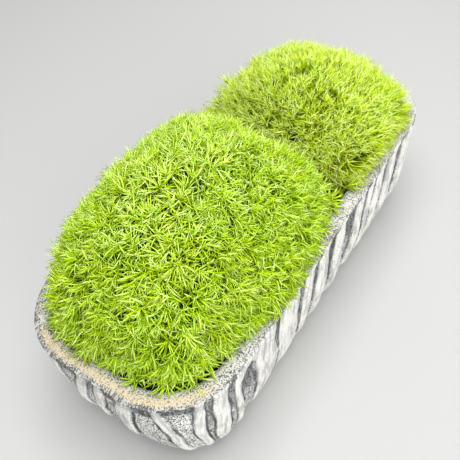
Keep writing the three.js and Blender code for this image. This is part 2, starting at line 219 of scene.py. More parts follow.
class MaterialSheet(NodeSheet):
    """A new material with a Principled shader, to draw a finish on."""

    def __init__(self, name: str) -> None:
        """Makes the material.

        Args:
            name: Its name.
        """
        self.material = bpy.data.materials.new(name)
        self.material.use_nodes = True
        super().__init__(self.material.node_tree)
        self.shader = self.tree.nodes["Principled BSDF"]
        self.place = self.add("ShaderNodeTexCoord")["Object"]

    def attribute(self, name: str, output: str = "Fac") -> Value:
        """Reads a named attribute of the mesh, as a number or through another output."""
        return self.add("ShaderNodeAttribute", attribute_type="GEOMETRY", attribute_name=name)[output]

    def grain(self, size: float, detail: float, place: Value | None = None) -> Value:
        """A noise pattern, from 0 to 1 around a half.

        Args:
            size: The breadth of one grain in metres.
            detail: How many finer layers it has.
            place: The coordinates that it reads, if not the place on the piece.

        Returns:
            The pattern.
        """
        feeds = {"Vector": place or self.place, "Scale": 1 / size, "Detail": detail}
        return self.add("ShaderNodeTexNoise", feeds)

    def emboss(self, height: Value, depth: float) -> None:
        """Gives the shader fine relief of a depth in metres."""
        bump = self.add("ShaderNodeBump", {"Height": height, "Strength": 1.0, "Distance": depth})
        self.feed(self.shader.inputs["Normal"], bump)

    def finished(self, colour: Feed, roughness: float, gloss: float = 0.5) -> Material:
        """Feeds the shader.

        Args:
            colour: The base colour.
            roughness: The roughness.
            gloss: The specular level.

        Returns:
            The material.
        """
        for name, feed in {"Base Color": colour, "Roughness": roughness, "Specular IOR Level": gloss}.items():
            self.feed(self.shader.inputs[name], feed)
        return self.material


class CementSheet(MaterialSheet):
    """A material with the patterns that all the cement's colours share."""

    def __init__(self, finish: "CementFinish") -> None:
        """Draws the patterns: grains, broad clouds and streaks that run down the wall.

        Args:
            finish: The finish that they belong to.
        """
        super().__init__("whitewashed_cement")
        self.flow = self.attribute("flow", "Vector")
        self.specks = self.grain(finish.speck, 1.5)
        self.clouds = self.grain(finish.cloud, 3.0)
        self.streaks = self.grain(finish.streak, 3.0, self.flow * (1.0, 1.0, finish.streak_squash))


@dataclass(frozen=True)
class CementFinish:
    """Cast cement: chalky ridges, salt and pepper fields, a grey band of painted shade under the rim, dark
    lines of painted shade and stain at the ridges' feet, sand on the rim.

    A span of a pattern is where one colour gives way to the other.
    """

    chalk: Triple = (0.78, 0.77, 0.725)
    chalk_shade: Triple = (0.43, 0.43, 0.425)
    salt: Triple = (0.84, 0.84, 0.80)
    pepper: Triple = (0.05, 0.052, 0.055)
    field_grey: Triple = (0.26, 0.262, 0.265)
    # Dark lines at the ridges' feet: painted shade in the creases, partly a stain.
    line: Triple = (0.06, 0.062, 0.065)
    # The band under the rim is painted shade: the dark hollow colour, mottled with a lighter grey.
    hollow: Triple = (0.062, 0.064, 0.067)
    scraped_grey: Triple = (0.38, 0.38, 0.375)
    sand: Triple = (0.47, 0.405, 0.295)
    sand_grain: Triple = (0.15, 0.13, 0.10)
    rim_light: Triple = (0.47, 0.462, 0.425)
    rim_dark: Triple = (0.09, 0.092, 0.095)
    speck: float = 0.62 * MM
    streak: float = 1.5 * MM
    streak_squash: float = 0.12
    lash: float = 0.682 * MM
    lash_squash: float = 0.3
    lash_pull: float = 0.17
    lash_zone: Span = (0.35, 0.7)
    lash_gaps: Span = (0.42, 0.56)
    line_gaps: Span = (0.36, 0.56)
    scrape_streaks: float = 0.4
    cloud: float = 8 * MM
    ridge_edge: Span = (0.30, 0.62)
    ridge_raggedness: float = 0.7
    worn: Span = (0.47, 0.62)
    dusty: Span = (0.54, 0.62)
    scraped: Span = (0.47, 0.59)
    lashes: Span = (0.58, 0.68)
    field_grains: Span = (0.475, 0.54)
    rim_grains: Span = (0.42, 0.52)
    bare_light: float = 0.05
    sand_grains: Span = (0.33, 0.49)
    zone_edge: Span = (0.34, 0.62)
    roughness: float = 0.92
    gloss: float = 0.25
    pit_streaks: float = 0.6
    pit_depth: float = 0.7 * MM

    def material(self) -> Material:
        """Draws the finish.

        Returns:
            The material.
        """
        sheet = CementSheet(self)
        specks, streaks = sheet.specks, sheet.streaks
        crest = (specks - 0.5) * self.ridge_raggedness + sheet.attribute("crest")
        colour = crest.span(*self.ridge_edge).blend(self.field_colour(sheet), self.ridge_colour(sheet))
        # Painted shade in the creases at the ridges' feet, partly a stain, broken by streaks.
        line = self.zone(sheet, "line") * streaks.span(*self.line_gaps, (0.35, 1.0))
        colour = line.blend(colour, self.line)
        # Painted shade under the rim, mottled with a lighter grey.
        scraped = sheet.lerp(self.scrape_streaks, specks, streaks).span(*self.scraped)
        hollow = scraped.blend(self.hollow, self.scraped_grey)
        colour = self.zone(sheet, "hollow").blend(colour, hollow)
        colour = self.rim_colour(sheet, colour)
        fine = sheet.grain(self.lash, 1.0, sheet.flow * (1.0, 1.0, self.lash_squash))
        edge = sheet.attribute("edge")
        lashes = (edge * self.lash_pull + fine).span(*self.lashes, (0.0, 0.9)) * edge.span(*self.lash_zone)
        lashes = lashes * streaks.span(*self.lash_gaps, (0.15, 1.0))
        sheet.emboss(sheet.lerp(self.pit_streaks, specks, streaks), self.pit_depth)
        return sheet.finished(lashes.blend(colour, self.rim_dark), self.roughness, self.gloss)

    def ridge_colour(self, sheet: CementSheet) -> Value:
        """The chalky ridges with their worn streaks and dust.

        Args:
            sheet: The sheet to draw on.

        Returns:
            The colour.
        """
        worn = sheet.lerp(0.25, sheet.streaks, sheet.clouds).span(*self.worn, (0.0, 0.9))
        chalk = worn.blend(self.chalk, self.chalk_shade)
        dust = sheet.specks.span(*self.dusty) * sheet.clouds.span(0.40, 0.60, (0.1, 0.6))
        return dust.blend(chalk, self.field_grey)

    def field_colour(self, sheet: CementSheet) -> Value:
        """The speckled fields, some of them darker than others.

        Args:
            sheet: The sheet to draw on.

        Returns:
            The colour.
        """
        shade = sheet.attribute("shade") + sheet.clouds.span(0.35, 0.65, (-0.3, 0.3))
        bias = shade.span(0.0, 1.0, (0.035, -0.035))
        speckled = (sheet.specks + bias).span(*self.field_grains).blend(self.pepper, self.salt)
        return shade.span(0.2, 1.2, (0.0, 0.3)).blend(speckled, self.field_grey)

    def rim_colour(self, sheet: CementSheet, colour: Value) -> Value:
        """Lays the grainy rim and its sandy strip over the wall's colour.

        Args:
            sheet: The sheet to draw on.
            colour: The wall's colour.

        Returns:
            The colour.
        """
        patchy = sheet.attribute("bare") * self.bare_light + sheet.clouds.span(0.38, 0.62, (0.05, -0.05))
        rim = (sheet.specks + patchy).span(*self.rim_grains).blend(self.rim_dark, self.rim_light)
        sand = sheet.specks.span(*self.sand_grains).blend(self.sand_grain, self.sand)
        colour = self.zone(sheet, "rim").blend(colour, rim)
        return self.zone(sheet, "sand").blend(colour, sand)

    def zone(self, sheet: CementSheet, name: str) -> Value:
        """A zone whose edge breaks up into grains, which carry it as far as its raggedness.

        Args:
            sheet: The sheet to draw on.
            name: The attribute that holds the zone, from 0 to 1.

        Returns:
            The zone's cover.
        """
        zone = sheet.attribute(name)
        shifted = (sheet.specks - 0.5) * RAGGEDNESS[name] + zone
        return shifted.span(*self.zone_edge) * zone.span(0.0, 0.12)


@dataclass(frozen=True)
class LeafFinish:
    """Preserved moss leaves: lime all along; dark at the root, partly painted shade deep in the cushion; pale
    at the tip, partly painted highlight, with more painted highlight high on the cushion and painted shade
    towards the valley.
    """

    name: str
    # The root colour is partly the leaves' darker base, partly painted shade deep in the cushion.
    root: Triple
    middle: Triple
    other_middle: Triple
    # The tip colour is partly the leaves' pale tips, partly painted highlight.
    tip: Triple
    old: Triple
    dry: Triple = (0.80, 0.74, 0.28)
    dry_share: float = 0.003
    brightness: Span = (0.7, 1.1)
    pale_from: float = 0.4
    pale_leaves: Span = (-0.5, 1.0)
    # Painted shade towards the valley between the cushions, by x on the piece.
    dimmest: float = 1.0
    dim_span: Span = (18 * MM, 56 * MM)
    # Painted highlight: leaves grow paler high on the cushion's top.
    high_pale: float = 0.25
    high_span: Span = (100 * MM, 124 * MM)
    patch: float = 17 * MM
    patch_edge: Span = (0.35, 0.65)
    patch_share: float = 0.45
    old_span: Span = (0.55, 1.0)
    most_old: float = 0.55
    root_length: float = 0.24
    roughness: float = 0.7
    gloss: float = 0.05

    def material(self) -> Material:
        """Draws the finish.

        Returns:
            The material.
        """
        sheet = MaterialSheet(self.name)
        names = ("along", "leaf_tone", "shoot_tone", "outer")
        along, leaf, shoot, outer = (sheet.attribute(name) for name in names)
        patches = sheet.grain(self.patch, 1.0).span(*self.patch_edge)
        middle = sheet.lerp(self.patch_share, shoot, patches).blend(self.middle, self.other_middle)
        middle = outer.span(*self.old_span, (0.0, self.most_old)).blend(middle, self.old)
        # Dark roots: partly the leaves' darker base, partly painted shade deep in the cushion.
        shown = along.span(0.0, self.root_length) + outer.span(0.1, 0.6, (0.8, 0.0))
        colour = shown.at_most(1.0).blend(self.root, middle)
        x, _, z = sheet.place.parts()
        # Pale tips, partly the leaves' own and partly painted highlight, with painted highlight added high on
        # the cushion.
        paleness_and_highlight = z.span(*self.high_span, (0.0, self.high_pale)) + leaf.span(0.0, 1.0, self.pale_leaves)
        pale = (along.span(self.pale_from, 1.0) * paleness_and_highlight).at_least(0.0)
        colour = pale.blend(colour, self.tip) * leaf.span(0.0, 1.0, self.brightness)
        # Painted shade towards the valley between the cushions.
        colour = colour * x.span(*self.dim_span, (self.dimmest, 1.0))
        is_dry = leaf.above(1.0 - self.dry_share)
        return sheet.finished(is_dry.blend(colour, self.dry), self.roughness, self.gloss)


@dataclass(frozen=True)
class FeltFinish:
    """The dull green felt of old leaves under the living ones, dark partly as painted shade between the
    leaves, with more painted shade where no shoots grow.
    """

    name: str = "moss_felt"
    deep: Triple = (0.03, 0.05, 0.001)
    fibre: Triple = (0.19, 0.29, 0.006)
    fibre_size: float = 1.1 * MM
    fibre_edge: Span = (0.42, 0.62)
    fibre_depth: float = 0.8 * MM
    # How bright the felt stays under the painted shade where no shoots grow.
    hole_light: float = 0.15
    roughness: float = 0.95
    gloss: float = 0.1

    def material(self) -> Material:
        """Draws the finish.

        Returns:
            The material.
        """
        sheet = MaterialSheet(self.name)
        fibres = sheet.grain(self.fibre_size, 3.0)
        # Painted shade where no shoots grow: in the holes and on the skirt by the rim.
        hole_shade = sheet.attribute("cover").span(0.1, 0.9, (self.hole_light, 1.0))
        colour = fibres.span(*self.fibre_edge).blend(self.deep, self.fibre) * hole_shade
        sheet.emboss(fibres, self.fibre_depth)
        return sheet.finished(colour, self.roughness, self.gloss)


@dataclass(frozen=True)
class FoamFinish:
    """Dry filling foam: dull green with fine open pores."""

    skin: Triple = (0.055, 0.075, 0.03)
    pore: Triple = (0.015, 0.02, 0.01)
    pore_size: float = 0.9 * MM
    pore_edge: Span = (0.1, 0.5)
    pore_depth: float = 0.4 * MM
    roughness: float = 0.97

    def material(self) -> Material:
        """Draws the finish.

        Returns:
            The material.
        """
        sheet = MaterialSheet("dry_filling_foam")
        feeds = {"Vector": sheet.place, "Scale": 1 / self.pore_size}
        pores = sheet.add("ShaderNodeTexVoronoi", feeds)["Distance"]
        sheet.emboss(pores, self.pore_depth)
        return sheet.finished(pores.span(*self.pore_edge).blend(self.pore, self.skin), self.roughness)


@dataclass(frozen=True)
class FloorFinish:
    """A plain pale studio floor."""

    colour: Triple = (0.40, 0.40, 0.395)
    roughness: float = 0.8

    def material(self) -> Material:
        """Draws the finish."""
        return MaterialSheet("pale_floor").finished(self.colour, self.roughness)


class Piece:
    """Making, naming and riding of the scene's own objects."""

    @staticmethod
    def linked(name: str, data: bpy.types.ID) -> Object:
        """Makes an object and links it to the scene.

        Args:
            name: Its name.
            data: Its mesh, camera or light.

        Returns:
            The object.
        """
        made = bpy.data.objects.new(name, data)
        bpy.context.scene.collection.objects.link(made)
        return made

    @staticmethod
    def from_arrays(name: str, points: Array, faces: list, values: dict) -> Object:
        """Makes a smooth mesh object.

        Args:
            name: The object's name.
            points: Its vertices in metres.
            faces: Its faces, as lists of vertex numbers.
            values: Attributes by name, one number or one vector for each vertex.

        Returns:
            The object, linked to the scene.
        """
        mesh = bpy.data.meshes.new(name)
        mesh.from_pydata(points.tolist(), [], faces)
        mesh.shade_smooth()
        for key, numbers in values.items():
            kind, slot = ("FLOAT", "value") if numbers.ndim == 1 else (VECTOR, "vector")
            attribute = mesh.attributes.new(key, kind, "POINT")
            attribute.data.foreach_set(slot, numbers.astype(np.float32).ravel())
        mesh.update()
        return Piece.linked(name, mesh)

    @staticmethod
    def settle(piece: Object, node: Node, slot: Slot, material: Material) -> None:
        """Dresses a piece, and lets it stand for a solid.

        Args:
            piece: The object.
            node: The solid that it stands for.
            slot: Not used.
            material: Its finish.
        """
        piece.data.materials.clear()
        piece.data.materials.append(material)
        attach(piece, BODY)
        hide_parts(node.value)
        LOG.info("%s: %d faces", piece.name, len(piece.data.polygons))

    @staticmethod
    def skin(rings: int, columns: int) -> list:
        """Faces over rings of points that run counterclockwise seen from above, from low to high.

        Args:
            rings: How many rings there are.
            columns: How many points each has.

        Returns:
            The faces: four-sided between the rings, and a fan to the two points that follow them.
        """
        start = np.arange(columns)
        ahead = (start + 1) % columns
        faces = []
        for low in range(0, (rings - 1) * columns, columns):
            high = low + columns
            faces.extend(np.stack([low + start, low + ahead, high + ahead, high + start], 1).tolist())
        foot = rings * columns
        last = foot - columns
        faces.extend(np.stack([np.full(columns, foot), ahead, start], 1).tolist())
        faces.extend(np.stack([np.full(columns, foot + 1), last + start, last + ahead], 1).tolist())
        return faces

    @staticmethod
    def wander(points: Array, size: float, seed: float = 0.0) -> Array:
        """Smooth noise at many points.

        Args:
            points: Places in metres, one row each.
            size: The breadth of its swells in metres.
            seed: A shift that makes another pattern.

        Returns:
            One number for each point, between about -1 and 1.
        """
        return np.array([noise.noise(Vector(place)) for place in points / size + seed])


def ease(value: Array | float, low: float, high: float) -> Array:
    """A smooth step from 0 at low to 1 at high, or down if high is the lesser."""
    share = np.clip((value - low) / (high - low), 0.0, 1.0)
    return share * share * (3 - 2 * share)


def bell(value: Array | float, breadth: float) -> Array:
    """A bell that is 1 where the value is 0 and fades over its breadth to either side."""
    return np.exp(-((value / breadth) ** 2))


@dataclass(frozen=True)
class Oblong:
    """The rounded oblong that all the trough's levels share."""

    length: float = 240 * MM
    width: float = 104 * MM
    corner: float = 36 * MM

    @property
    def girth(self) -> float:
        """The way once round the rim."""
        return 2 * (self.length + self.width) + (2 * math.pi - 8) * self.corner

    def point(self, place: Array, inset: Array) -> tuple[Array, Array]:
        """Points along the rim, counterclockwise from the middle of the near end.

        Args:
            place: How far along, in metres.
            inset: How far in from the rim's outer edge.

        Returns:
            Their x and y.
        """
        long_run = self.length - 2 * self.corner
        short_run = self.width - 2 * self.corner
        arc = math.pi / 2 * self.corner
        left = np.mod(place, self.girth)
        x = np.full_like(left, -self.length / 2)
        y = np.zeros_like(left)
        facing = np.full_like(left, math.pi)
        for run in (short_run / 2, long_run, short_run, long_run, short_run / 2):
            step = np.clip(left, 0, run)
            x -= np.sin(facing) * step
            y += np.cos(facing) * step
            left = left - run
            turn = np.clip(left, 0, arc) / self.corner
            x += self.corner * (np.cos(facing + turn) - np.cos(facing))
            y += self.corner * (np.sin(facing + turn) - np.sin(facing))
            facing = facing + turn
            left = left - arc
        return x - np.cos(facing) * inset, y - np.sin(facing) * inset

    def reach(self, middle: Span, angle: Array, inset: float) -> Array:
        """How far it is from a point inside to the outline drawn in by inset.

        Args:
            middle: The point inside.
            angle: The direction of each ray.
            inset: How far the outline is drawn in.

        Returns:
            The length of each ray.
        """
        near = np.zeros_like(angle)
        far = np.full_like(angle, self.length)
        for _ in range(30):
            half = (near + far) / 2
            over_x = np.abs(middle[0] + np.cos(angle) * half) - (self.length / 2 - self.corner)
            over_y = np.abs(middle[1] + np.sin(angle) * half) - (self.width / 2 - self.corner)
            at_corner = (over_x > 0) & (over_y > 0)
            out = np.where(at_corner, np.hypot(over_x, over_y), np.maximum(over_x, over_y))
            inside = self.corner - out > inset
            near = np.where(inside, half, near)
            far = np.where(inside, far, half)
        return near


OBLONG = Oblong()


def draws(seed: int, word: int = 0xFFFFFFFF, stride: int = 0x6D2B79F5) -> Iterator[float]:
    """Seeded draws between 0 and 1, the same in every build.

    Args:
        seed: A whole number.
        word: The greatest whole number that they work with.
        stride: How far the seed moves on for each.

    Yields:
        The draws.
    """
    while True:
        seed = (seed + stride) & word
        mixed = ((seed ^ (seed >> 15)) * (1 | seed)) & word
        mixed = (mixed + (((mixed ^ (mixed >> 7)) * (61 | mixed)) & word)) & word ^ mixed
        yield (mixed ^ (mixed >> 14)) / (word + 1)


@dataclass(frozen=True)
class Ridge:
    """One ridge of the wall, in metres.

    Its place runs along the rim from the middle of the near end. It strays from it by its lean
    halfway down the wall, and by its drift at the foot. Its shade is how dark the field after it is,
    and it is arched if that field ends in an arch under the rim.
    """

    place: float
    width: float
    lean: float
    drift: float
    shade: float
    arched: bool = False


@dataclass(frozen=True)
class Level:
    """One level of the trough: its height, its inset and its shares of the relief and of the rim."""

    z: float
    inset: float
    relief: float
    rim: float


# Place, width, lean and drift in millimetres, and shade, of the ridges that show.
SEEN_RIDGES = (
    (-22, 8, -9, -13, 0.5), (-4, 7, -10.5, -16, 0.4), (5, 6, -8, -15, 0.5), (18, 9, -6, -13, 0.3),
    (31.5, 5, 4.5, 11, 0.0), (50.3, 5.3, -1.5, 3, 0.9), (61, 9, -2, 2, 0.6), (71, 5, -0.5, 3, 0.5),
    (93, 17, -1, 0, 0.8), (114, 18, -3, -1, 0.9), (132.5, 9.5, -4.5, -2, 0.8),
    (147.5, 10.5, -4.5, -2, 0.7), (163.5, 9, -3, -1, 0.6), (185.5, 7.5, -4, -2, 0.7),
    (196, 6, -4.5, -2, 0.6), (207.5, 8.5, -4, -2, 0.6),
)
ARCHED_AFTER = 71
# How far under the top and how far in, in millimetres, and the share of the rim.
RIM_PROFILE = (
    (1.9, 0.03, 0.12), (1.25, 0.25, 0.4), (0.75, 0.75, 0.75), (0.35, 1.5, 1), (0.12, 2.5, 1),
    (0.0, 3.6, 1), (0.0, 4.7, 1), (0.1, 5.8, 1), (0.3, 6.8, 1), (0.75, 7.9, 1), (1.5, 8.7, 1),
    (2.6, 9.2, 1), (4.0, 9.4, 1),
)
# Height and how far in, in millimetres, down the wall's inside and over the floor.
INNER_PROFILE = (
    (57, 10.2), (50, 11.3), (40, 12.7), (28, 14.4), (16, 16.1), (11.5, 16.9), (10, 18.5), (10, 34),
)


@dataclass
class Trough:
    """The cast trough with its ridged wall, its broad rim and its hollow inside."""

    height: float = 66 * MM
    floor_top: float = 10 * MM
    foot_tuck: float = 10.6 * MM
    foot_tuck_power: float = 4
    foot_relief: float = 0.25
    foot_rise: float = 17 * MM
    groove_depth: float = 3 * MM
    groove_depth_per_width: float = 0.45
    flank: float = 1.5 * MM
    flank_share: float = 0.24
    flank_foot: float = 0.4 * MM
    least_gap: float = 0.8 * MM
    band_depth: float = 0.4 * MM
    near_end: float = 72 * MM
    near_fade: float = 18 * MM
    # Heights where the band under the rim begins, at the near end and along the sides: it deepens the grooves
    # and carries painted shade.
    near_band: Span = (50 * MM, 57 * MM)
    side_band: Span = (26 * MM, 54 * MM)
    near_calm: float = 0.55
    calm_end: float = 104 * MM
    lip_shadow_foot: Span = (55 * MM, 59 * MM)
    lip_shadow_top: Span = (65.6 * MM, 64.6 * MM)
    lip_shadow_reach: Span = (-44 * MM, -18 * MM)
    lip_shadow_strength: float = 0.85
    shadow_on_ridges: float = 0.52
    far_end: Span = (190 * MM, 230 * MM)
    arch_top: float = 61.5 * MM
    arch_rise: float = 5 * MM
    arch_lip: float = 1.6 * MM
    pitch: Span = (13 * MM, 19 * MM)
    share: Span = (0.4, 0.6)
    lean: Span = (-7 * MM, 3 * MM)
    drift_share: float = 0.4
    seed: int = 5
    rows: int = 58
    column_counts: tuple[int, ...] = (5, 3, 6, 3)
    crown: float = 0.7 * MM
    width_sway: float = 0.14
    width_sway_size: float = 9 * MM
    wobbles: tuple[Triple, ...] = ((15 * MM, 1.3 * MM, 0.0), (6 * MM, 0.5 * MM, 7.0))
    unevenness: tuple[Triple, ...] = ((11 * MM, 0.35 * MM, 0.0), (3 * MM, 0.16 * MM, 5.0))
    # The dark lines at the ridges' feet are painted shade in the creases, partly a stain: they darken with
    # the groove's depth and fade out towards the foot.
    full_line_depth: float = 1.1 * MM
    full_groove_depth: float = 0.9 * MM
    line_breadth: float = 0.6 * MM
    line_fade: Span = (0.0, 30 * MM)
    lip_line: Span = (1.2 * MM, 1.3 * MM)
    inner_line: Span = (7.6 * MM, 1.3 * MM)
    sand_line: Span = (3.5 * MM, 2.3 * MM)
    sand_half_length: float = 60 * MM
    sand_middle: float = 12 * MM
    finish: CementFinish = CementFinish()

    def ridges(self) -> list[Ridge]:
        """All the ridges: those seen, then the same rhythm on the far sides.

        Returns:
            The ridges in order.
        """
        draw = draws(self.seed)
        spans = (self.pitch, self.share, self.lean)
        ridges = [
            Ridge(place * MM, width * MM, lean * MM, drift * MM, shade, place == ARCHED_AFTER)
            for place, width, lean, drift, shade in SEEN_RIDGES
        ]
        start = ridges[-1].place
        unseen = ridges[0].place + OBLONG.girth - start
        count = round(2 * unseen / sum(self.pitch)) - 1
        even = unseen / (count + 1)
        for step in range(1, count + 1):
            pitch, share, lean = (low + (high - low) * next(draw) for low, high in spans)
            place = start + even * step + (pitch - even) / 3
            shade = 0.3 + 0.6 * abs(lean / self.lean[0])
            ridges.append(Ridge(place, pitch * share, lean, lean * self.drift_share, shade))
        return ridges

    def stray(self, ridge: Ridge, z: float) -> float:
        """How far a ridge's middle has strayed from its place at a height."""
        halves = (self.height - z) / (self.height / 2)
        return ridge.lean * halves * (2 - halves) + ridge.drift * halves * (halves - 1) / 2

    def row(self, z: float) -> dict[str, Array]:
        """One level of the wall, in four stretches to each ridge: its top, a flank, the field, a flank.

        Args:
            z: Its height.

        Returns:
            For each column: place along the rim, depth below the ridges' tops, crest, line, groove, shade.
        """
        ridges = self.ridges()
        names = ("place", "width", "shade", "arched")
        home, width, shade, arched = (np.array([getattr(ridge, name) for ridge in ridges]) for name in names)
        middle = home + np.array([self.stray(ridge, z) for ridge in ridges]) + self.wobble(home, z)
        width = width * (1 + self.width_sway * self.sway(home * 3, z, self.width_sway_size, 2.0))
        flank = np.minimum(self.flank, self.flank_share * width)
        left = middle - width / 2
        right = middle + width / 2
        next_left = np.append(left[1:], left[0] + OBLONG.girth)
        gap = np.maximum(next_left - right, self.least_gap)
        foot = np.minimum(self.flank_foot, 0.1 * gap)
        depth = np.minimum(self.groove_depth, self.groove_depth_per_width * gap)

        stretch = np.repeat(range(4), self.column_counts)[:, None]
        share = np.concatenate([np.arange(count) / count for count in self.column_counts])[:, None]
        starts = np.stack([left + flank, right - flank, right + foot, next_left - foot])
        ends = np.stack([*starts[1:], next_left + np.roll(flank, -1)])
        place = starts[stretch[:, 0]] + (ends - starts)[stretch[:, 0]] * share
        fall = np.choose(stretch, [0.0, ease(share, 0, 1), 1.0, 1 - ease(share, 0, 1)])
        across = np.choose(stretch, [1.0, -1.0, 2 * share - 1, 1.0])
        under_arch = self.arch_top - self.arch_rise * across**2 - z
        arched = arched * (stretch > 0)
        fall = fall * np.where(arched, ease(under_arch, 0.0, self.arch_lip), 1.0)
        on_top = np.where(stretch == 0, (2 * share - 1) ** 2, 1.0)
        inward = np.choose(stretch, [9.0, 1 - share, np.minimum(share, 1 - share), share])
        # The dark line where each flank meets its field, and under the arches: painted shade in the crease,
        # partly a stain.
        line = bell(inward * np.where(stretch == 2, starts[3] - starts[2], flank + foot), self.line_breadth)
        arch_line = bell(under_arch - self.arch_lip, self.line_breadth) * (stretch == 2)
        line = np.where(arched, np.maximum(line * (fall > 0.5), arch_line), line)
        rows = {
            "place": place,
            "depth": on_top * self.crown + fall * (depth - self.crown * 0.6),
            "crest": 1 - fall,
            "line": line * np.minimum(1, depth / self.full_line_depth),
            "groove": fall * np.minimum(1, depth / self.full_groove_depth),
            "shade": shade,
        }
        return {key: (values + 0 * place).T.ravel() for key, values in rows.items()}

    def around(self, place: Array, z: float) -> Array:
        """Places along the rim as points on an upright cylinder, so that noise closes round it.

        Args:
            place: The places.
            z: Their height.

        Returns:
            The points.
        """
        radius = OBLONG.girth / (2 * math.pi)
        angle = place / radius
        return np.stack([np.cos(angle) * radius, np.sin(angle) * radius, np.full_like(angle, z)], 1)

    def sway(self, place: Array, z: float, size: float, seed: float = 0.0) -> Array:
        """Smooth noise along the rim at a height."""
        return Piece.wander(self.around(place, z), size, seed)

    def wobble(self, place: Array, z: float) -> Array:
        """How far each ridge wavers sideways at a height."""
        return sum(self.sway(place, z, size, seed) * reach for size, reach, seed in self.wobbles)

    def levels(self) -> list[Level]:
        """The trough's levels, from the underside up, over the rim and down inside.

        Returns:
            The levels in order.
        """
        top = self.height
        start = 0.3 * MM
        last_wall = top - 2.6 * MM
        levels = [Level(0.0, self.foot_tuck + out * MM, 0.0, 0.0) for out in (24, 1.2)]
        for z in np.linspace(start, last_wall, self.rows).tolist():
            tuck = self.foot_tuck * ((top - z) / top) ** self.foot_tuck_power
            standing = self.foot_relief + (1 - self.foot_relief) * ease(z, 0.0, self.foot_rise)
            levels.append(Level(z, tuck, standing * ease(z, top - 1.6 * MM, top - 3.6 * MM), 0.0))
        levels += [Level(top - down * MM, inset * MM, 0.0, share) for down, inset, share in RIM_PROFILE]
        levels += [Level(z * MM, inset * MM, 0.0, 0.6) for z, inset in INNER_PROFILE]
        return levels

    def zones(self, level: Level, row: dict[str, Array]) -> dict[str, Array]:
        """What the finish reads at a level, but for the flow, and the band under the rim, which deepens the
        grooves and carries painted shade.

        Args:
            level: The level.
            row: Its columns.

        Returns:
            The zones by name, one number for each column.
        """
        z, inset, rim = level.z, level.inset, level.rim
        off = self.from_middle(row["place"])
        near = self.nearness(off, self.near_end)
        far = ease(np.abs(off), *self.far_end)
        # Painted shade in the grooves under the rim, a band that sets in higher at the near end; it also
        # deepens the grooves.
        band = near * ease(z, *self.near_band) + (1 - near) * ease(z, *self.side_band)
        band = band * row["groove"] * (z < self.height - 1 * MM)
        shaded = band * np.clip(0.4 + row["shade"], 0, 1)
        lip_shadow = ease(z, *self.lip_shadow_foot) * ease(z, *self.lip_shadow_top) * near
        lip_shadow = lip_shadow * ease(off, *self.lip_shadow_reach) * self.lip_shadow_strength
        lip_shadow = lip_shadow * (self.shadow_on_ridges + (1 - self.shadow_on_ridges) * row["groove"])
        lip = self.stripe(self.height - z, self.lip_line) * (inset < 2.6 * MM)
        inner = self.stripe(inset, self.inner_line) * (rim >= 1)
        return {
            "band": band,
            "calm": 1 - self.near_calm * self.nearness(off, self.calm_end),
            "crest": row["crest"],
            "shade": row["shade"],
            # Painted shade in the creases at the ridges' feet, partly a stain.
            "line": row["line"] * ease(z, *self.line_fade) * (level.relief > 0.05),
            # The painted shade under the rim: the grooves' band, darker in darker fields, and the lip's
            # shadow.
            "hollow": np.maximum(shaded, lip_shadow) * (rim < 0.75),
            "edge": lip * (0.7 + 0.3 * near - 0.5 * far),
            "bare": 0.6 * inner * near + 1.2 * far,
            "rim": np.full_like(off, rim),
            "sand": self.sandiness(off, inset) * (rim >= 0.75),
        }

    def build(self) -> None:
        """Builds the trough's skin with the zones that its finish reads, and dresses it."""
        at_rim = self.row(self.height)["place"]
        rings = []
        zones = []
        for level in self.levels():
            row = self.row(level.z)
            zone = self.zones(level, row)
            band = zone["band"] * self.band_depth * (level.relief > 0)
            x, y = OBLONG.point(row["place"], level.inset + row["depth"] * zone["calm"] * level.relief + band)
            rings.append(np.stack([x, y, np.full_like(x, level.z)], 1))
            zones.append({**zone, "flow": self.around(at_rim, level.z)})
        rings.append(np.array([[0.0, 0.0, 0.0], [0.0, 0.0, self.floor_top]]))
        values = {}
        for name in CEMENT_ZONES:
            parts = [zone[name] for zone in zones]
            values[name] = np.concatenate([*parts, np.zeros_like(parts[0][:2])])
        points = self.roughened(np.concatenate(rings), values["rim"])
        piece = Piece.from_arrays("trough_cast", points, Piece.skin(len(zones), len(at_rim)), values)
        Piece.settle(piece, Node.PLANTER, Slot.CEMENT, self.finish.material())

    def from_middle(self, place: Array) -> Array:
        """How far along the rim places are from the near end's middle, to either side."""
        return np.mod(place + OBLONG.girth / 2, OBLONG.girth) - OBLONG.girth / 2

    def nearness(self, off: Array, reach: float) -> Array:
        """How near to the middle of the near end places off it are, from 0 to 1."""
        return ease(np.abs(off), reach, reach - self.near_fade)

    def sandiness(self, off: Array, inset: float) -> Array:
        """The sandy strip along the middle of the rim, at places off the near end's middle."""
        along = ease(np.abs(off - self.sand_middle), self.sand_half_length, self.sand_half_length * 0.6)
        return along * self.stripe(inset, self.sand_line)

    def stripe(self, distance: float, line: Span) -> float:
        """A stripe that is 1 at a line's distance and fades over its breadth to either side."""
        return bell(distance - line[0], line[1])

    def roughened(self, points: Array, rim: Array) -> Array:
        """Gives the casting its uneven surface, leaving the underside flat.

        Args:
            points: The smooth places.
            rim: Each point's share of the rim.

        Returns:
            The uneven places.
        """
        push = sum(Piece.wander(points, size, seed) * depth for size, depth, seed in self.unevenness)
        spine = OBLONG.length / 2 - OBLONG.corner
        along = points[:, 0] - np.clip(points[:, 0], -spine, spine)
        across = np.sign(points[:, 1]) * np.maximum(np.abs(points[:, 1]) - 16 * MM, 0)
        outward = np.stack([along, across], 1)
        outward /= np.maximum(np.linalg.norm(outward, axis=1, keepdims=True), 1e-9)
        standing = ease(points[:, 2], 0.2 * MM, 3 * MM)
        moved = points.copy()
        moved[:, :2] += outward * (push * standing * (1 - 0.5 * rim))[:, None]
        moved[:, 2] += push * 0.9 * rim * ease(points[:, 2], 62 * MM, 65 * MM)
        return moved


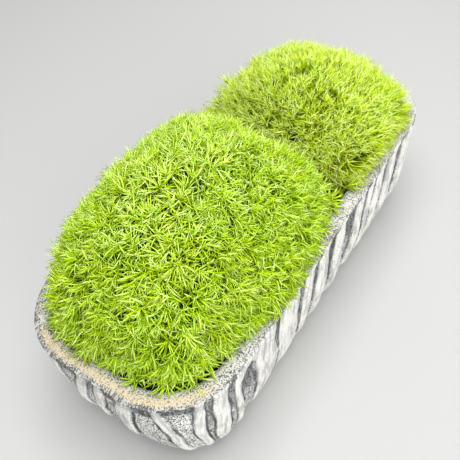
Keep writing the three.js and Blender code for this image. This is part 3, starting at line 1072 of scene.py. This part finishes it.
@dataclass
class FoamBlock:
    """The dry filling that carries the moss, which keeps its own solid."""

    finish: FoamFinish = FoamFinish()

    def dress(self) -> None:
        """Gives the solid its finish."""
        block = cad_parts[Node.FOAM_BLOCK.value]
        block.data.materials.clear()
        block.data.materials.append(self.finish.material())
        LOG.info("%s dressed", block.name)


@dataclass(frozen=True)
class Growth:
    """How one cushion's leaves grow: each field is a named input of the tree."""

    stem: float = 3.2 * MM
    spacing: float = 3.25 * MM
    leaf_length: float = 11 * MM
    leaf_width: float = 0.66 * MM
    leaves: int = 27
    spread: float = 0.9
    droop: float = 1.5
    sweep: float = 1.0
    fan: float = 0.3
    bend: float = 1.2
    stray: float = 0.06
    lean: float = 0.0

    def inputs(self) -> dict[str, float]:
        """The fields under the names of the tree's inputs."""
        return {name.replace("_", " ").title(): size for name, size in asdict(self).items()}


@dataclass
class LeafRule(NodeSheet):
    """How the leaves grow, as a tree of geometry nodes that works on any cushion's felt."""

    bends_and_steps: tuple[tuple[float, int], ...] = ((0.45, 2), (0.9, 2), (1.3, 3), (1.9, 4))
    least_spread: float = math.radians(6)
    spread_power: float = 0.85
    sweep_share: float = 0.22
    stem_shares: Span = (1.0, 0.1)
    curl_rises: Span = (0.0, -0.6)
    bend_luck: float = 0.6
    shoot_sizes: Span = (0.82, 1.18)
    leaf_sizes: Span = (0.78, 1.16)
    leaf_lengths: Span = (0.68, 1.12)
    spread_stray: float = 1.7
    turn_stray: float = 0.4
    curl_stray: float = 0.2
    tuft: float = 15 * MM
    valley_gap: float = 1.7 * MM
    tip_gap: float = 0.3 * MM
    tip_lifts: Span = (0.5 * MM, 2.2 * MM)
    most_shoots: float = 500000.0
    upturn_span: Span = (74 * MM, 63 * MM)
    upturns: Span = (0.12, 0.34)
    spill_span: Span = (68 * MM, 64 * MM)
    thickness: float = 0.6
    rim_height: float = 66 * MM
    rim_breadth: float = 9.4 * MM
    rim_ease: float = 2.5 * MM
    tip_drop: float = 6 * MM

    def __post_init__(self) -> None:
        """Builds the tree with its named inputs."""
        super().__init__(bpy.data.node_groups.new("moss_leaves", "GeometryNodeTree"))
        face = self.tree.interface
        sizes = Growth().inputs() | {
            "Middle X": 0.0, "Middle Y": 0.0, "Valley X": 0.0, "Side": 1.0, "Lowest Root": 0.0, "Seed": 1,
            "Sector": 0, "Sectors": 1,
        }
        face.new_socket("Felt", in_out="INPUT", socket_type="NodeSocketGeometry")
        for name, size in sizes.items():
            kind = "NodeSocketInt" if isinstance(size, int) else "NodeSocketFloat"
            face.new_socket(name, in_out="INPUT", socket_type=kind).default_value = size
        face.new_socket("Finish", in_out="INPUT", socket_type="NodeSocketMaterial")
        face.new_socket("Moss", in_out="OUTPUT", socket_type="NodeSocketGeometry")
        self.given = self.add("NodeGroupInput")
        self.feed(self.tree.nodes.new("NodeGroupOutput").inputs[0], self.placed_leaves(self.shoots()))

    def shoots(self) -> Value:
        """Scatters the shoots over the felt and gives each its axis, size and tone.

        Returns:
            The shoots, as points of one sector.
        """
        given = self.given
        place = self.place()
        x, _, z = place.parts()
        grows = z.above(given["Lowest Root"]) * self.named("cover").above(0.5)
        own_side = (given["Side"] * (x - given["Valley X"])).above(self.valley_gap)
        scatter = self.add("GeometryNodeDistributePointsOnFaces", {
            "Mesh": given["Felt"], "Selection": grows * own_side, "Distance Min": given["Spacing"],
            "Density Max": self.most_shoots, "Seed": given["Seed"],
        }, distribute_method="POISSON")
        normal = scatter["Normal"]
        tuft = self.add("ShaderNodeTexVoronoi", {"Vector": place, "Scale": 1 / self.tuft})
        fan = (place - tuft["Position"]) * (given["Fan"] * (2 / self.tuft))
        tone = self.lerp(0.5, tuft["Color"].parts()[0], self.draw((0.0, 1.0), 33))
        points = self.store(
            scatter["Points"], shoot_axis=self.axis(normal, fan),
            shoot_slope=1.0 - normal.parts()[2].at_least(0.0),
            shoot_size=self.draw(self.shoot_sizes, 31) * self.named("vigour"),
            shoot_turn=self.draw((0.0, 2 * math.pi), 32), shoot_tone=tone, shoot_sweep=self.stray(1.0, 34),
        )
        feeds = {0: points, 1: self.in_sector(place)}
        return self.add("GeometryNodeSeparateGeometry", feeds, domain="POINT")

    def axis(self, normal: Value, fan: Value) -> Value:
        """The direction of a shoot: out of the felt, away from its tuft's middle, turned up a little.

        Args:
            normal: The felt's normal.
            fan: How far the shoot leans away from its tuft's middle.

        Returns:
            The axis.
        """
        place = self.place()
        z = place.parts()[2]
        near_rim = z.span(*self.upturn_span, self.upturns, smooth=True)
        spilling = self.off_core(place) * (z.span(*self.spill_span) * self.given["Lean"])
        strayed = self.stray(1.0, 30) * self.given["Stray"]
        return (normal + UP * near_rim + fan + spilling + strayed).unit()

    def off_core(self, place: Value) -> Value:
        """How far a place lies out of the trough's core, over the radius of its corners.

        Args:
            place: The place.

        Returns:
            The level vector from the core, 1 long at the rim's outer edge.
        """
        offs = []
        for value, side in zip(place.parts(), (OBLONG.length, OBLONG.width)):
            core = side / 2 - OBLONG.corner
            offs.append(value - value.at_most(core).at_least(-core))
        return self.joined(*offs, 0.0) * (1 / OBLONG.corner)

    def in_sector(self, place: Value) -> Value:
        """Whether a point is in the sector that is asked for, seen from above.

        Args:
            place: The point.

        Returns:
            1 inside, 0 outside.
        """
        given = self.given
        x, y, _ = place.parts()
        angle = (y - given["Middle Y"]).math("ARCTAN2", x - given["Middle X"])
        turn = angle.span(-math.pi, math.pi, (0.0, 0.99999))
        return (turn * given["Sectors"]).math("FLOOR").math("COMPARE", given["Sector"], 0.5)

    def placed_leaves(self, shoots: Value) -> Value:
        """Sets the leaves round every shoot, the inner ones upright and the outer ones spread.

        Args:
            shoots: The shoots, as points.

        Returns:
            The finished mesh of leaves.
        """
        given = self.given
        doubled = self.add("GeometryNodeDuplicateElements", {0: shoots, 2: given["Leaves"]}, domain="POINT")
        index = doubled["Duplicate Index"]
        share = index / (given["Leaves"] - 1.0)
        points = self.store(doubled, outer=share, turn_index=index, leaf_tone=self.draw((0.0, 1.0), 40))
        outer = self.named("outer")
        axis = self.named("shoot_axis", VECTOR)
        size = self.named("shoot_size")
        around = self.named("turn_index") * GOLDEN_ANGLE + self.named("shoot_turn")
        around = around + self.draw((-self.turn_stray, self.turn_stray), 41)
        spread = self.lerp(outer.math("POWER", self.spread_power), self.least_spread, given["Spread"])
        spread = self.draw((-self.spread_stray, self.spread_stray), 42) * given["Stray"] + spread
        upright = self.add("FunctionNodeAlignRotationToVector", {2: axis}, axis="Z")
        turned = self.rotated(upright, UP, around)
        tilted = self.rotated(turned, Y_AXIS, spread)
        way = self.add("FunctionNodeRotateVector", {0: UP, 1: tilted})
        away = self.add("FunctionNodeRotateVector", {0: X_AXIS, 1: turned})
        hang = outer * self.named("shoot_slope") * (given["Droop"] * -1.0)
        way = (way + UP * hang + self.swept() * self.sweep_share).unit()

        root = self.place() + axis * (given["Stem"] * size * outer.span(0.0, 1.0, self.stem_shares))
        length = given["Leaf Length"] * outer.span(0.0, 1.0, self.leaf_lengths) * size
        length = length * self.draw(self.leaf_sizes, 43)
        way = (self.clear_tip(root + way * length) - root).unit()
        points = self.add("GeometryNodeSetPosition", {0: points, 2: root})
        return self.grown(self.store(points, leaf_way=way, leaf_away=away, leaf_size=length))

    def grown(self, points: Value) -> Value:
        """Puts a leaf on every point, realizes them and gives them their finish.

        Args:
            points: The leaves' roots with their directions.

        Returns:
            The finished mesh of leaves.
        """
        given = self.given
        outer = self.named("outer")
        curl = self.named("leaf_away", VECTOR) + UP * outer.span(0.0, 1.0, self.curl_rises)
        curl = curl + (self.swept() + self.stray(self.curl_stray, 44))
        align = "FunctionNodeAlignRotationToVector"
        along = self.add(align, {2: self.named("leaf_way", VECTOR)}, axis="Z")
        facing = self.add(align, {0: along, 2: curl}, axis="X", pivot_axis="Z")
        width = given["Leaf Width"] / given["Leaf Length"]
        joined = self.add("GeometryNodeJoinGeometry")
        for form in reversed([self.leaf(width, *form) for form in self.bends_and_steps]):
            self.feed(joined.socket.node.inputs[0], self.add("GeometryNodeGeometryToInstance", {0: form}))
        bend = self.lerp(self.bend_luck, outer, self.draw((0.0, 1.0), 45)) * given["Bend"]
        pick = (bend * (len(self.bends_and_steps) - 0.01)).math("FLOOR")
        placed = self.add("GeometryNodeInstanceOnPoints", {
            "Points": points, "Instance": joined, "Pick Instance": True, "Instance Index": pick,
            "Rotation": facing, "Scale": self.named("leaf_size"),
        })
        real = self.add("GeometryNodeRealizeInstances", {0: placed})
        return self.add("GeometryNodeSetMaterial", {0: real, 2: given["Finish"]})

    def clear_tip(self, tip: Value) -> Value:
        """Lifts a tip that would sink into the rim, and keeps it on its own side of the valley.

        Args:
            tip: The tip.

        Returns:
            The cleared tip.
        """
        side, valley = self.given["Side"], self.given["Valley X"]
        x, y, z = tip.parts()
        inset = self.off_core(tip).math("LENGTH")["Value"] * -OBLONG.corner + OBLONG.corner
        over_rim = inset.span(self.rim_breadth + self.rim_ease, self.rim_breadth, smooth=True)
        lowest = over_rim * self.tip_drop + (self.rim_height - self.tip_drop)
        lowest = lowest + self.draw(self.tip_lifts, 46)
        off = (side * (x - valley)).at_least(self.tip_gap)
        return self.joined(off * side + valley, y, z.at_least(lowest))

    def leaf(self, width: Value, bend: float, steps: int) -> Value:
        """One leaf of unit length: a slim three-sided spike whose ends lie on the Z axis.

        Args:
            width: Its breadth over its length.
            bend: The angle that it bends through.
            steps: Its steps from root to tip.

        Returns:
            The leaf, with how far along it each point is.
        """
        sizes = {"Vertices": 3, "Side Segments": steps, "Radius Top": 0.0, "Radius Bottom": 1.0, "Depth": 1.0}
        x, y, z = self.place().parts()
        cone = self.store(self.add("GeometryNodeMeshCone", sizes, fill_type="NGON"), along=z)
        along = self.named("along")
        outline = along.span(0.0, 0.45, (0.6, 1.0)) * along.span(0.55, 1.0, (1.0, 0.5))
        fullness = outline * (width / ((1.0 - along) * math.sqrt(3)))
        x = x * (fullness * self.thickness)
        turn = along * bend - bend / 2
        sine, cosine = turn.math("SINE"), turn.math("COSINE")
        spine_x = (math.cos(bend / 2) - cosine) / bend
        spine_z = (sine + math.sin(bend / 2)) / bend
        bent = self.joined(x * cosine + spine_x, y * fullness, spine_z - x * sine)
        return self.add("GeometryNodeSetPosition", {0: cone, 2: bent})

    def place(self) -> Value:
        """The place of each point."""
        return self.add("GeometryNodeInputPosition")

    def swept(self) -> Value:
        """How a shoot's leaves are all swept to one side."""
        return self.named("shoot_sweep", VECTOR) * self.given["Sweep"]

    def joined(self, x: Feed, y: Feed, z: Feed) -> Value:
        """Makes a vector of x, y and z."""
        return self.add("ShaderNodeCombineXYZ", {0: x, 1: y, 2: z})

    def rotated(self, start: Value, axis: Triple, angle: Value) -> Value:
        """Turns a rotation further about one of its own axes."""
        turn = self.add("FunctionNodeAxisAngleToRotation", {0: axis, 1: angle})
        return self.add("FunctionNodeRotateRotation", {0: start, 1: turn}, rotation_space="LOCAL")

    def store(self, geometry: Value, **values: Value) -> Value:
        """Stores values on every point under their names.

        Args:
            geometry: The points.
            values: The values by name.

        Returns:
            The points with their values.
        """
        for name, value in values.items():
            kind = VECTOR if is_vector(value) else "FLOAT"
            feeds = {0: geometry, 2: name, 3: value}
            geometry = self.add("GeometryNodeStoreNamedAttribute", feeds, data_type=kind, domain="POINT")
        return geometry

    def named(self, name: str, kind: str = "FLOAT") -> Value:
        """Reads a value that was stored under a name."""
        return self.add("GeometryNodeInputNamedAttribute", {0: name}, data_type=kind)

    def draw(self, span: Span, seed: int) -> Value:
        """A seeded random number for each point, between two numbers."""
        return self.add("FunctionNodeRandomValue", {2: span[0], 3: span[1], 8: seed}, data_type="FLOAT")[1]

    def stray(self, reach: float, seed: int) -> Value:
        """A seeded random vector for each point, up to a reach each way."""
        feeds = {0: (-reach,) * 3, 1: (reach,) * 3, 8: seed}
        return self.add("FunctionNodeRandomValue", feeds, data_type=VECTOR)


@dataclass(frozen=True)
class Swell:
    """A place in millimetres where the felt stands out or, with a rise under zero, is sunk."""

    place: Triple
    breadth: float
    rise: float


@dataclass(frozen=True)
class Spill:
    """A stretch of the rim, in millimetres, where the moss spills over: shoots also grow on the skirt."""

    x: float
    y: float
    radius: float
    growth: float = 1.0

    def nearness(self, points: Array, core: float) -> Array:
        """How near points are, seen from above: 1 within a share of the radius, 0 outside it."""
        gap = np.hypot(points[:, 0] - self.x * MM, points[:, 1] - self.y * MM)
        return ease(gap, self.radius * MM, self.radius * core * MM)


@dataclass
class Cushion:
    """One cushion of moss: a felted body and the leaves that stand out of it."""

    name: str
    node: Node
    slot: Slot
    middle: Span
    half: Span
    height: float
    plan_power: float
    dome_power: float
    side: int
    seed: int
    leaf_finish: LeafFinish
    holes: tuple[Triple, ...]
    swells: tuple[Swell, ...]
    spills: tuple[Spill, ...]
    growth: Growth = Growth()
    felt_finish: FeltFinish = FeltFinish()
    hole_radius: float = 3.4 * MM
    hole_depth: float = 2.5 * MM
    sectors: int = 3
    foot: float = 52 * MM
    block_clearance: float = 0.3 * MM
    valley_x: float = 21.5 * MM
    felt_from_valley: float = 1.0 * MM
    felt_depth: float = 9.7 * MM
    skirt_top: float = 62.8 * MM
    wall_inset: float = 10.4 * MM
    swell_size: float = 24 * MM
    swells_out: float = 2.0 * MM
    bump_size: float = 9 * MM
    bumps_out: float = 0.8 * MM
    slope_vigour: float = 1.18
    top_loss: float = 0.26
    top_span: Span = (0.45, 0.98)
    skirt_vigour: float = 0.75
    columns: int = 150
    dome_rings: int = 34

    def felt(self) -> Object:
        """Builds the felted body: the dome drawn in from the leaf tips, on a skirt that fills the trough.

        Returns:
            The body, a closed mesh.
        """
        angle = np.arange(self.columns) / self.columns * 2 * math.pi
        wall = OBLONG.reach(self.middle, angle, self.wall_inset)
        low_wall = OBLONG.reach(self.middle, angle, self.wall_inset + 1.4 * MM)
        bottom = self.foot + self.block_clearance
        height = self.height - self.felt_depth
        rings = [
            (bottom, low_wall * 0.96), (bottom + 0.8 * MM, low_wall),
            (self.skirt_top - 1.5 * MM, wall), (self.skirt_top, wall - 0.6 * MM),
        ]
        rings += self.dome(angle, height)
        layers = []
        for z, radius in rings:
            x = self.middle[0] + np.cos(angle) * radius
            y = self.middle[1] + np.sin(angle) * radius
            layers.append(np.stack([x, y, np.full_like(x, z)], 1))
        layers.append(np.array([[*self.middle, bottom], [*self.middle, self.foot + height]]))
        points = np.concatenate(layers)
        cover = self.cover(points)
        points = self.lumpy(points, cover, bottom)
        edge = self.valley_x + self.side * self.felt_from_valley
        points[:, 0] = np.maximum(points[:, 0], edge) if self.side > 0 else np.minimum(points[:, 0], edge)
        values = {"cover": cover, "vigour": self.vigour(points)}
        return Piece.from_arrays(f"{self.name}_felt", points, Piece.skin(len(rings), self.columns), values)

    def dome(self, angle: Array, height: float) -> list[tuple[float, Array]]:
        """The rings of the dome, over a plan that is rounded by its power.

        Args:
            angle: The direction of each column.
            height: The dome's height over its foot.

        Returns:
            For each ring its height and how far it reaches.
        """
        along = np.abs(np.cos(angle)) / (self.half[0] - self.felt_depth)
        across = np.abs(np.sin(angle)) / (self.half[1] - self.felt_depth)
        plan = (along**self.plan_power + across**self.plan_power) ** (-1 / self.plan_power)
        start = math.asin((self.skirt_top + 1.2 * MM - self.foot) / height)
        rings = []
        for step in range(self.dome_rings):
            share = step / self.dome_rings
            rise = math.sin(start * (1 - share) + math.pi / 2 * share)
            radius = plan * (1 - rise**self.dome_power) ** (1 / self.dome_power)
            rings.append((self.foot + height * rise, radius))
        return rings

    def outward(self, points: Array) -> Array:
        """The direction out of the dome at each point, of unit length."""
        way = points - np.array([*self.middle, self.foot])
        return way / np.maximum(np.linalg.norm(way, axis=1, keepdims=True), 1e-9)

    def gap_under(self, place: Triple, points: Array) -> Array:
        """How far points are from the felt under a place on the tips' outline, given in millimetres."""
        spot = np.array([place]) * MM
        return np.linalg.norm(points - (spot - self.outward(spot) * self.felt_depth), axis=1)

    def cover(self, points: Array) -> Array:
        """Where shoots grow: everywhere on the dome but in the holes, and on the skirt where it spills.

        Args:
            points: Places on the felt.

        Returns:
            The cover at each, from 0 to 1.
        """
        cover = np.ones(len(points))
        for place in self.holes:
            gap = self.gap_under(place, points)
            cover = np.minimum(cover, ease(gap, self.hole_radius * 0.6, self.hole_radius * 1.2))
        spilt = np.full(len(points), 0.1)
        for spill in self.spills:
            spilt = np.maximum(spilt, spill.nearness(points, 0.7))
        return np.where(points[:, 2] < self.skirt_top + 0.1 * MM, spilt, cover)

    def vigour(self, points: Array) -> Array:
        """How well the shoots grow: longer leaves low on the slopes, shorter ones on top and on the skirt.

        Args:
            points: Places on the felt.

        Returns:
            The vigour at each.
        """
        vigour = self.slope_vigour - self.top_loss * ease(self.outward(points)[:, 2], *self.top_span)
        above_skirt = ease(points[:, 2], self.skirt_top, self.skirt_top + 6 * MM)
        vigour *= self.skirt_vigour + (1 - self.skirt_vigour) * above_skirt
        low = ease(points[:, 2], self.skirt_top + 12 * MM, self.skirt_top + 2 * MM)
        for spill in self.spills:
            vigour *= 1 + (spill.growth - 1) * low * spill.nearness(points, 0.4)
        return vigour

    def lumpy(self, points: Array, cover: Array, bottom: float) -> Array:
        """Makes the dome uneven, as grown moss is, and leaves what stands in the trough.

        Args:
            points: The smooth places.
            cover: Where shoots grow.
            bottom: The height of the underside.

        Returns:
            The uneven places.
        """
        push = Piece.wander(points, self.swell_size, self.seed) * self.swells_out
        push += Piece.wander(points, self.bump_size, self.seed + 3.0) * self.bumps_out
        push -= (1 - cover) * self.hole_depth
        for swell in self.swells:
            push += ease(self.gap_under(swell.place, points), swell.breadth * MM, 0.0) * swell.rise * MM
        free = ease(points[:, 2], self.skirt_top, self.skirt_top + 8 * MM)
        moved = points + self.outward(points) * (push * free)[:, None]
        moved[:, 2] = np.maximum(moved[:, 2], bottom)
        return moved

    def leaves(self, felt: Object, rule: LeafRule, finish: Material, sector: int) -> Object:
        """Grows the leaves of one sector.

        Args:
            felt: The body that they grow on.
            rule: The tree that grows them.
            finish: Their material.
            sector: The sector's number.

        Returns:
            The leaves, as one plain mesh.
        """
        name = f"{self.name}_leaves_{sector + 1}"
        grower = Piece.linked(name, felt.data.copy())
        modifier = grower.modifiers.new("leaves", "NODES")
        modifier.node_group = rule.tree
        sizes = self.growth.inputs() | {
            "Middle X": self.middle[0], "Middle Y": self.middle[1], "Valley X": self.valley_x,
            "Side": float(self.side), "Lowest Root": self.skirt_top - 0.4 * MM, "Seed": self.seed,
            "Sector": sector, "Sectors": self.sectors, "Finish": finish,
        }
        for item in rule.tree.interface.items_tree:
            if item.in_out == "INPUT" and item.name in sizes:
                modifier[item.identifier] = sizes[item.name]
        view = bpy.context.evaluated_depsgraph_get()
        mesh = bpy.data.meshes.new_from_object(grower.evaluated_get(view))
        grower.modifiers.clear()
        mesh.shade_smooth()
        for spare in SPARE_VALUES:
            if spare in mesh.attributes:
                mesh.attributes.remove(mesh.attributes[spare])
        grower.data = mesh
        mesh.name = name
        return grower

    def build(self, rule: LeafRule) -> None:
        """Builds the cushion's pieces and dresses them.

        Args:
            rule: The tree that grows leaves.
        """
        felt = self.felt()
        finish = self.leaf_finish.material()
        for sector in range(self.sectors):
            Piece.settle(self.leaves(felt, rule, finish, sector), self.node, self.slot, finish)
        Piece.settle(felt, self.node, self.slot, self.felt_finish.material())


@dataclass
class Studio:
    """The camera, the lights and the floor."""

    eye: Triple = (-168.87 * MM, -125.4 * MM, 284.02 * MM)
    azimuth: float = -50.526
    elevation: float = 49.58
    roll: float = -7.53
    focal_pixels: float = 600.0
    sensor: float = 36.0
    floor_size: float = 6.0
    floor_z: float = -0.05 * MM
    aim: Triple = (0.0, 0.0, 80 * MM)
    world: Triple = (0.90, 0.90, 0.88)
    world_strength: float = 0.53
    lamps: tuple[tuple, ...] = (
        ("key", (-0.02, -0.09, 0.85), 0.6, 9.4), ("fill", (-0.6, -0.8, 0.6), 0.9, 9.8),
        ("back", (0.8, 0.3, 0.45), 0.6, 2.0),
    )

    def build(self) -> None:
        """Sets up the camera, the floor, the lights and the plain surroundings."""
        self.camera()
        self.floor()
        for lamp in self.lamps:
            self.light(*lamp)
        world = bpy.data.worlds.new("studio")
        world.use_nodes = True
        background = world.node_tree.nodes["Background"]
        background.inputs[0].default_value = (*self.world, 1.0)
        background.inputs[1].default_value = self.world_strength
        bpy.context.scene.world = world
        bpy.context.scene.view_settings.view_transform = "Standard"

    def camera(self) -> None:
        """Places the camera at the photograph's viewing angle."""
        data = bpy.data.cameras.new("camera")
        data.sensor_width = self.sensor
        data.lens = self.focal_pixels / PHOTO_PIXELS * self.sensor
        data.clip_start = 0.01
        camera = Piece.linked("camera", data)
        camera.matrix_world = Matrix.Translation(self.eye)
        for angle, about in ((self.azimuth, "Z"), (90.0 - self.elevation, "X"), (self.roll, "Z")):
            camera.matrix_world @= Matrix.Rotation(math.radians(angle), 4, about)
        bpy.context.scene.camera = camera

    def floor(self) -> None:
        """Lays the floor under the trough."""
        signs = np.array([[-1, -1, 0], [1, -1, 0], [1, 1, 0], [-1, 1, 0]])
        corners = signs * self.floor_size / 2 + np.array([0.0, 0.0, self.floor_z])
        floor = Piece.from_arrays("floor", corners, [[0, 1, 2, 3]], {})
        floor.data.materials.append(FloorFinish().material())

    def light(self, name: str, place: Triple, size: float, power: float) -> None:
        """Hangs a soft square light that looks at the moss.

        Args:
            name: Its name.
            place: Where it hangs.
            size: The side of its square.
            power: Its power in watts.
        """
        data = bpy.data.lights.new(name, "AREA")
        data.size = size
        data.energy = power
        lamp = Piece.linked(name, data)
        lamp.location = place
        lamp.rotation_euler = (Vector(self.aim) - Vector(place)).to_track_quat("-Z", "Y").to_euler()


BRIGHT_LEAVES = LeafFinish(
    name="bright_moss_leaves", root=(0.02, 0.06, 0.0004), middle=(0.40, 0.63, 0.003),
    other_middle=(0.505, 0.70, 0.007), tip=(0.70, 0.86, 0.33), old=(0.20, 0.35, 0.0015),
    brightness=(0.78, 1.1),
)
FRONT_CUSHION = Cushion(
    name="moss_front", node=Node.MOSS_FRONT, slot=Slot.MOSS_BRIGHT, middle=(-43.7 * MM, 0.8 * MM),
    half=(70.4 * MM, 50.5 * MM), height=74.7 * MM, plan_power=3.4, dome_power=2, side=-1, seed=11,
    sectors=4, leaf_finish=BRIGHT_LEAVES,
    holes=(
        (-55.4, -18.8, 120.6), (-63.3, -4.1, 123.6), (-71.7, -17.9, 117.8), (-97.5, -28.6, 92.1),
        (-100.5, -6.3, 96.1), (-104.6, -20.5, 86.5), (-95.4, 5.8, 102.7), (-57.1, -39.2, 97.4),
    ),
    swells=(
        Swell((-44, -48, 70), 20, 6), Swell((-88, -44, 72), 23, -5), Swell((-10, -47, 76), 22, 1.5),
        Swell((2, 46, 84), 18, 0.5), Swell((-20, 50, 86), 15, 3), Swell((-74, 46, 84), 17, -3),
        Swell((-92, 38, 78), 18, -2), Swell((16, 40, 84), 12, 4.5), Swell((12, -6, 97), 24, -5),
        Swell((-113, -14, 70), 26, -2),
    ),
    spills=(Spill(-38, -42, 20), Spill(2, -42, 15), Spill(18, 42, 20), Spill(-60, 42, 26)),
)
# The olive leaves carry painted shade towards the valley.
OLIVE_LEAVES = LeafFinish(
    name="olive_moss_leaves", root=(0.32, 0.44, 0.003), middle=(0.46, 0.65, 0.006),
    other_middle=(0.55, 0.70, 0.010), tip=(0.80, 0.89, 0.46), old=(0.42, 0.58, 0.004), dry_share=0.006,
    brightness=(0.9, 1.1), pale_from=0.42, pale_leaves=(-0.35, 0.95), dimmest=0.72,
)
REAR_CUSHION = Cushion(
    name="moss_rear", node=Node.MOSS_REAR, slot=Slot.MOSS_OLIVE, middle=(62.8 * MM, 1.1 * MM),
    half=(57.5 * MM, 54.6 * MM), height=54.1 * MM, plan_power=2.8, dome_power=1.7, side=1, seed=29,
    hole_radius=2.8 * MM, hole_depth=3 * MM, bumps_out=0.5 * MM, felt_depth=12 * MM,
    leaf_finish=OLIVE_LEAVES,
    felt_finish=FeltFinish(name="olive_moss_felt", deep=(0.12, 0.15, 0.003), fibre=(0.34, 0.44, 0.012)),
    growth=Growth(
        spread=0.46, droop=0.2, sweep=0.2, fan=0.0, bend=0.85, stray=0.1, lean=0.9, spacing=2.35 * MM,
        leaf_length=10.5 * MM, leaf_width=0.47 * MM, leaves=20,
    ),
    holes=((25, -3, 90), (22.6, -9.9, 87.4), (19.6, -16.9, 82.4), (27.6, 24.1, 87.3), (48, -22, 96)),
    swells=(
        Swell((55, 51, 75), 9, 8), Swell((38, 48, 78), 10, 5), Swell((73, 50, 80), 8, -6),
        Swell((88, 51, 80), 9, 11), Swell((104, 40, 76), 20, -9), Swell((114, 20, 76), 18, -6),
        Swell((112, -38, 74), 17, -12), Swell((118, -12, 74), 14, 3), Swell((50, -48, 70), 26, 5),
        Swell((28, -50, 69), 16, 9), Swell((30, -48, 78), 13, 6), Swell((88, -48, 68), 20, 8),
    ),
    spills=(
        Spill(62, -42, 30), Spill(88, -40, 17), Spill(32, -42, 20), Spill(20, -42, 13, 1.7),
        Spill(26, 42, 20, 1.7), Spill(110, -34, 16, 0.5),
    ),
)


def main() -> None:
    """Builds everything in order."""
    logging.basicConfig(level=logging.INFO, format="%(message)s")
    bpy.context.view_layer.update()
    Studio().build()
    Trough().build()
    FoamBlock().dress()
    rule = LeafRule()
    for cushion in (FRONT_CUSHION, REAR_CUSHION):
        cushion.build(rule)


if __name__ == "__main__":
    main()
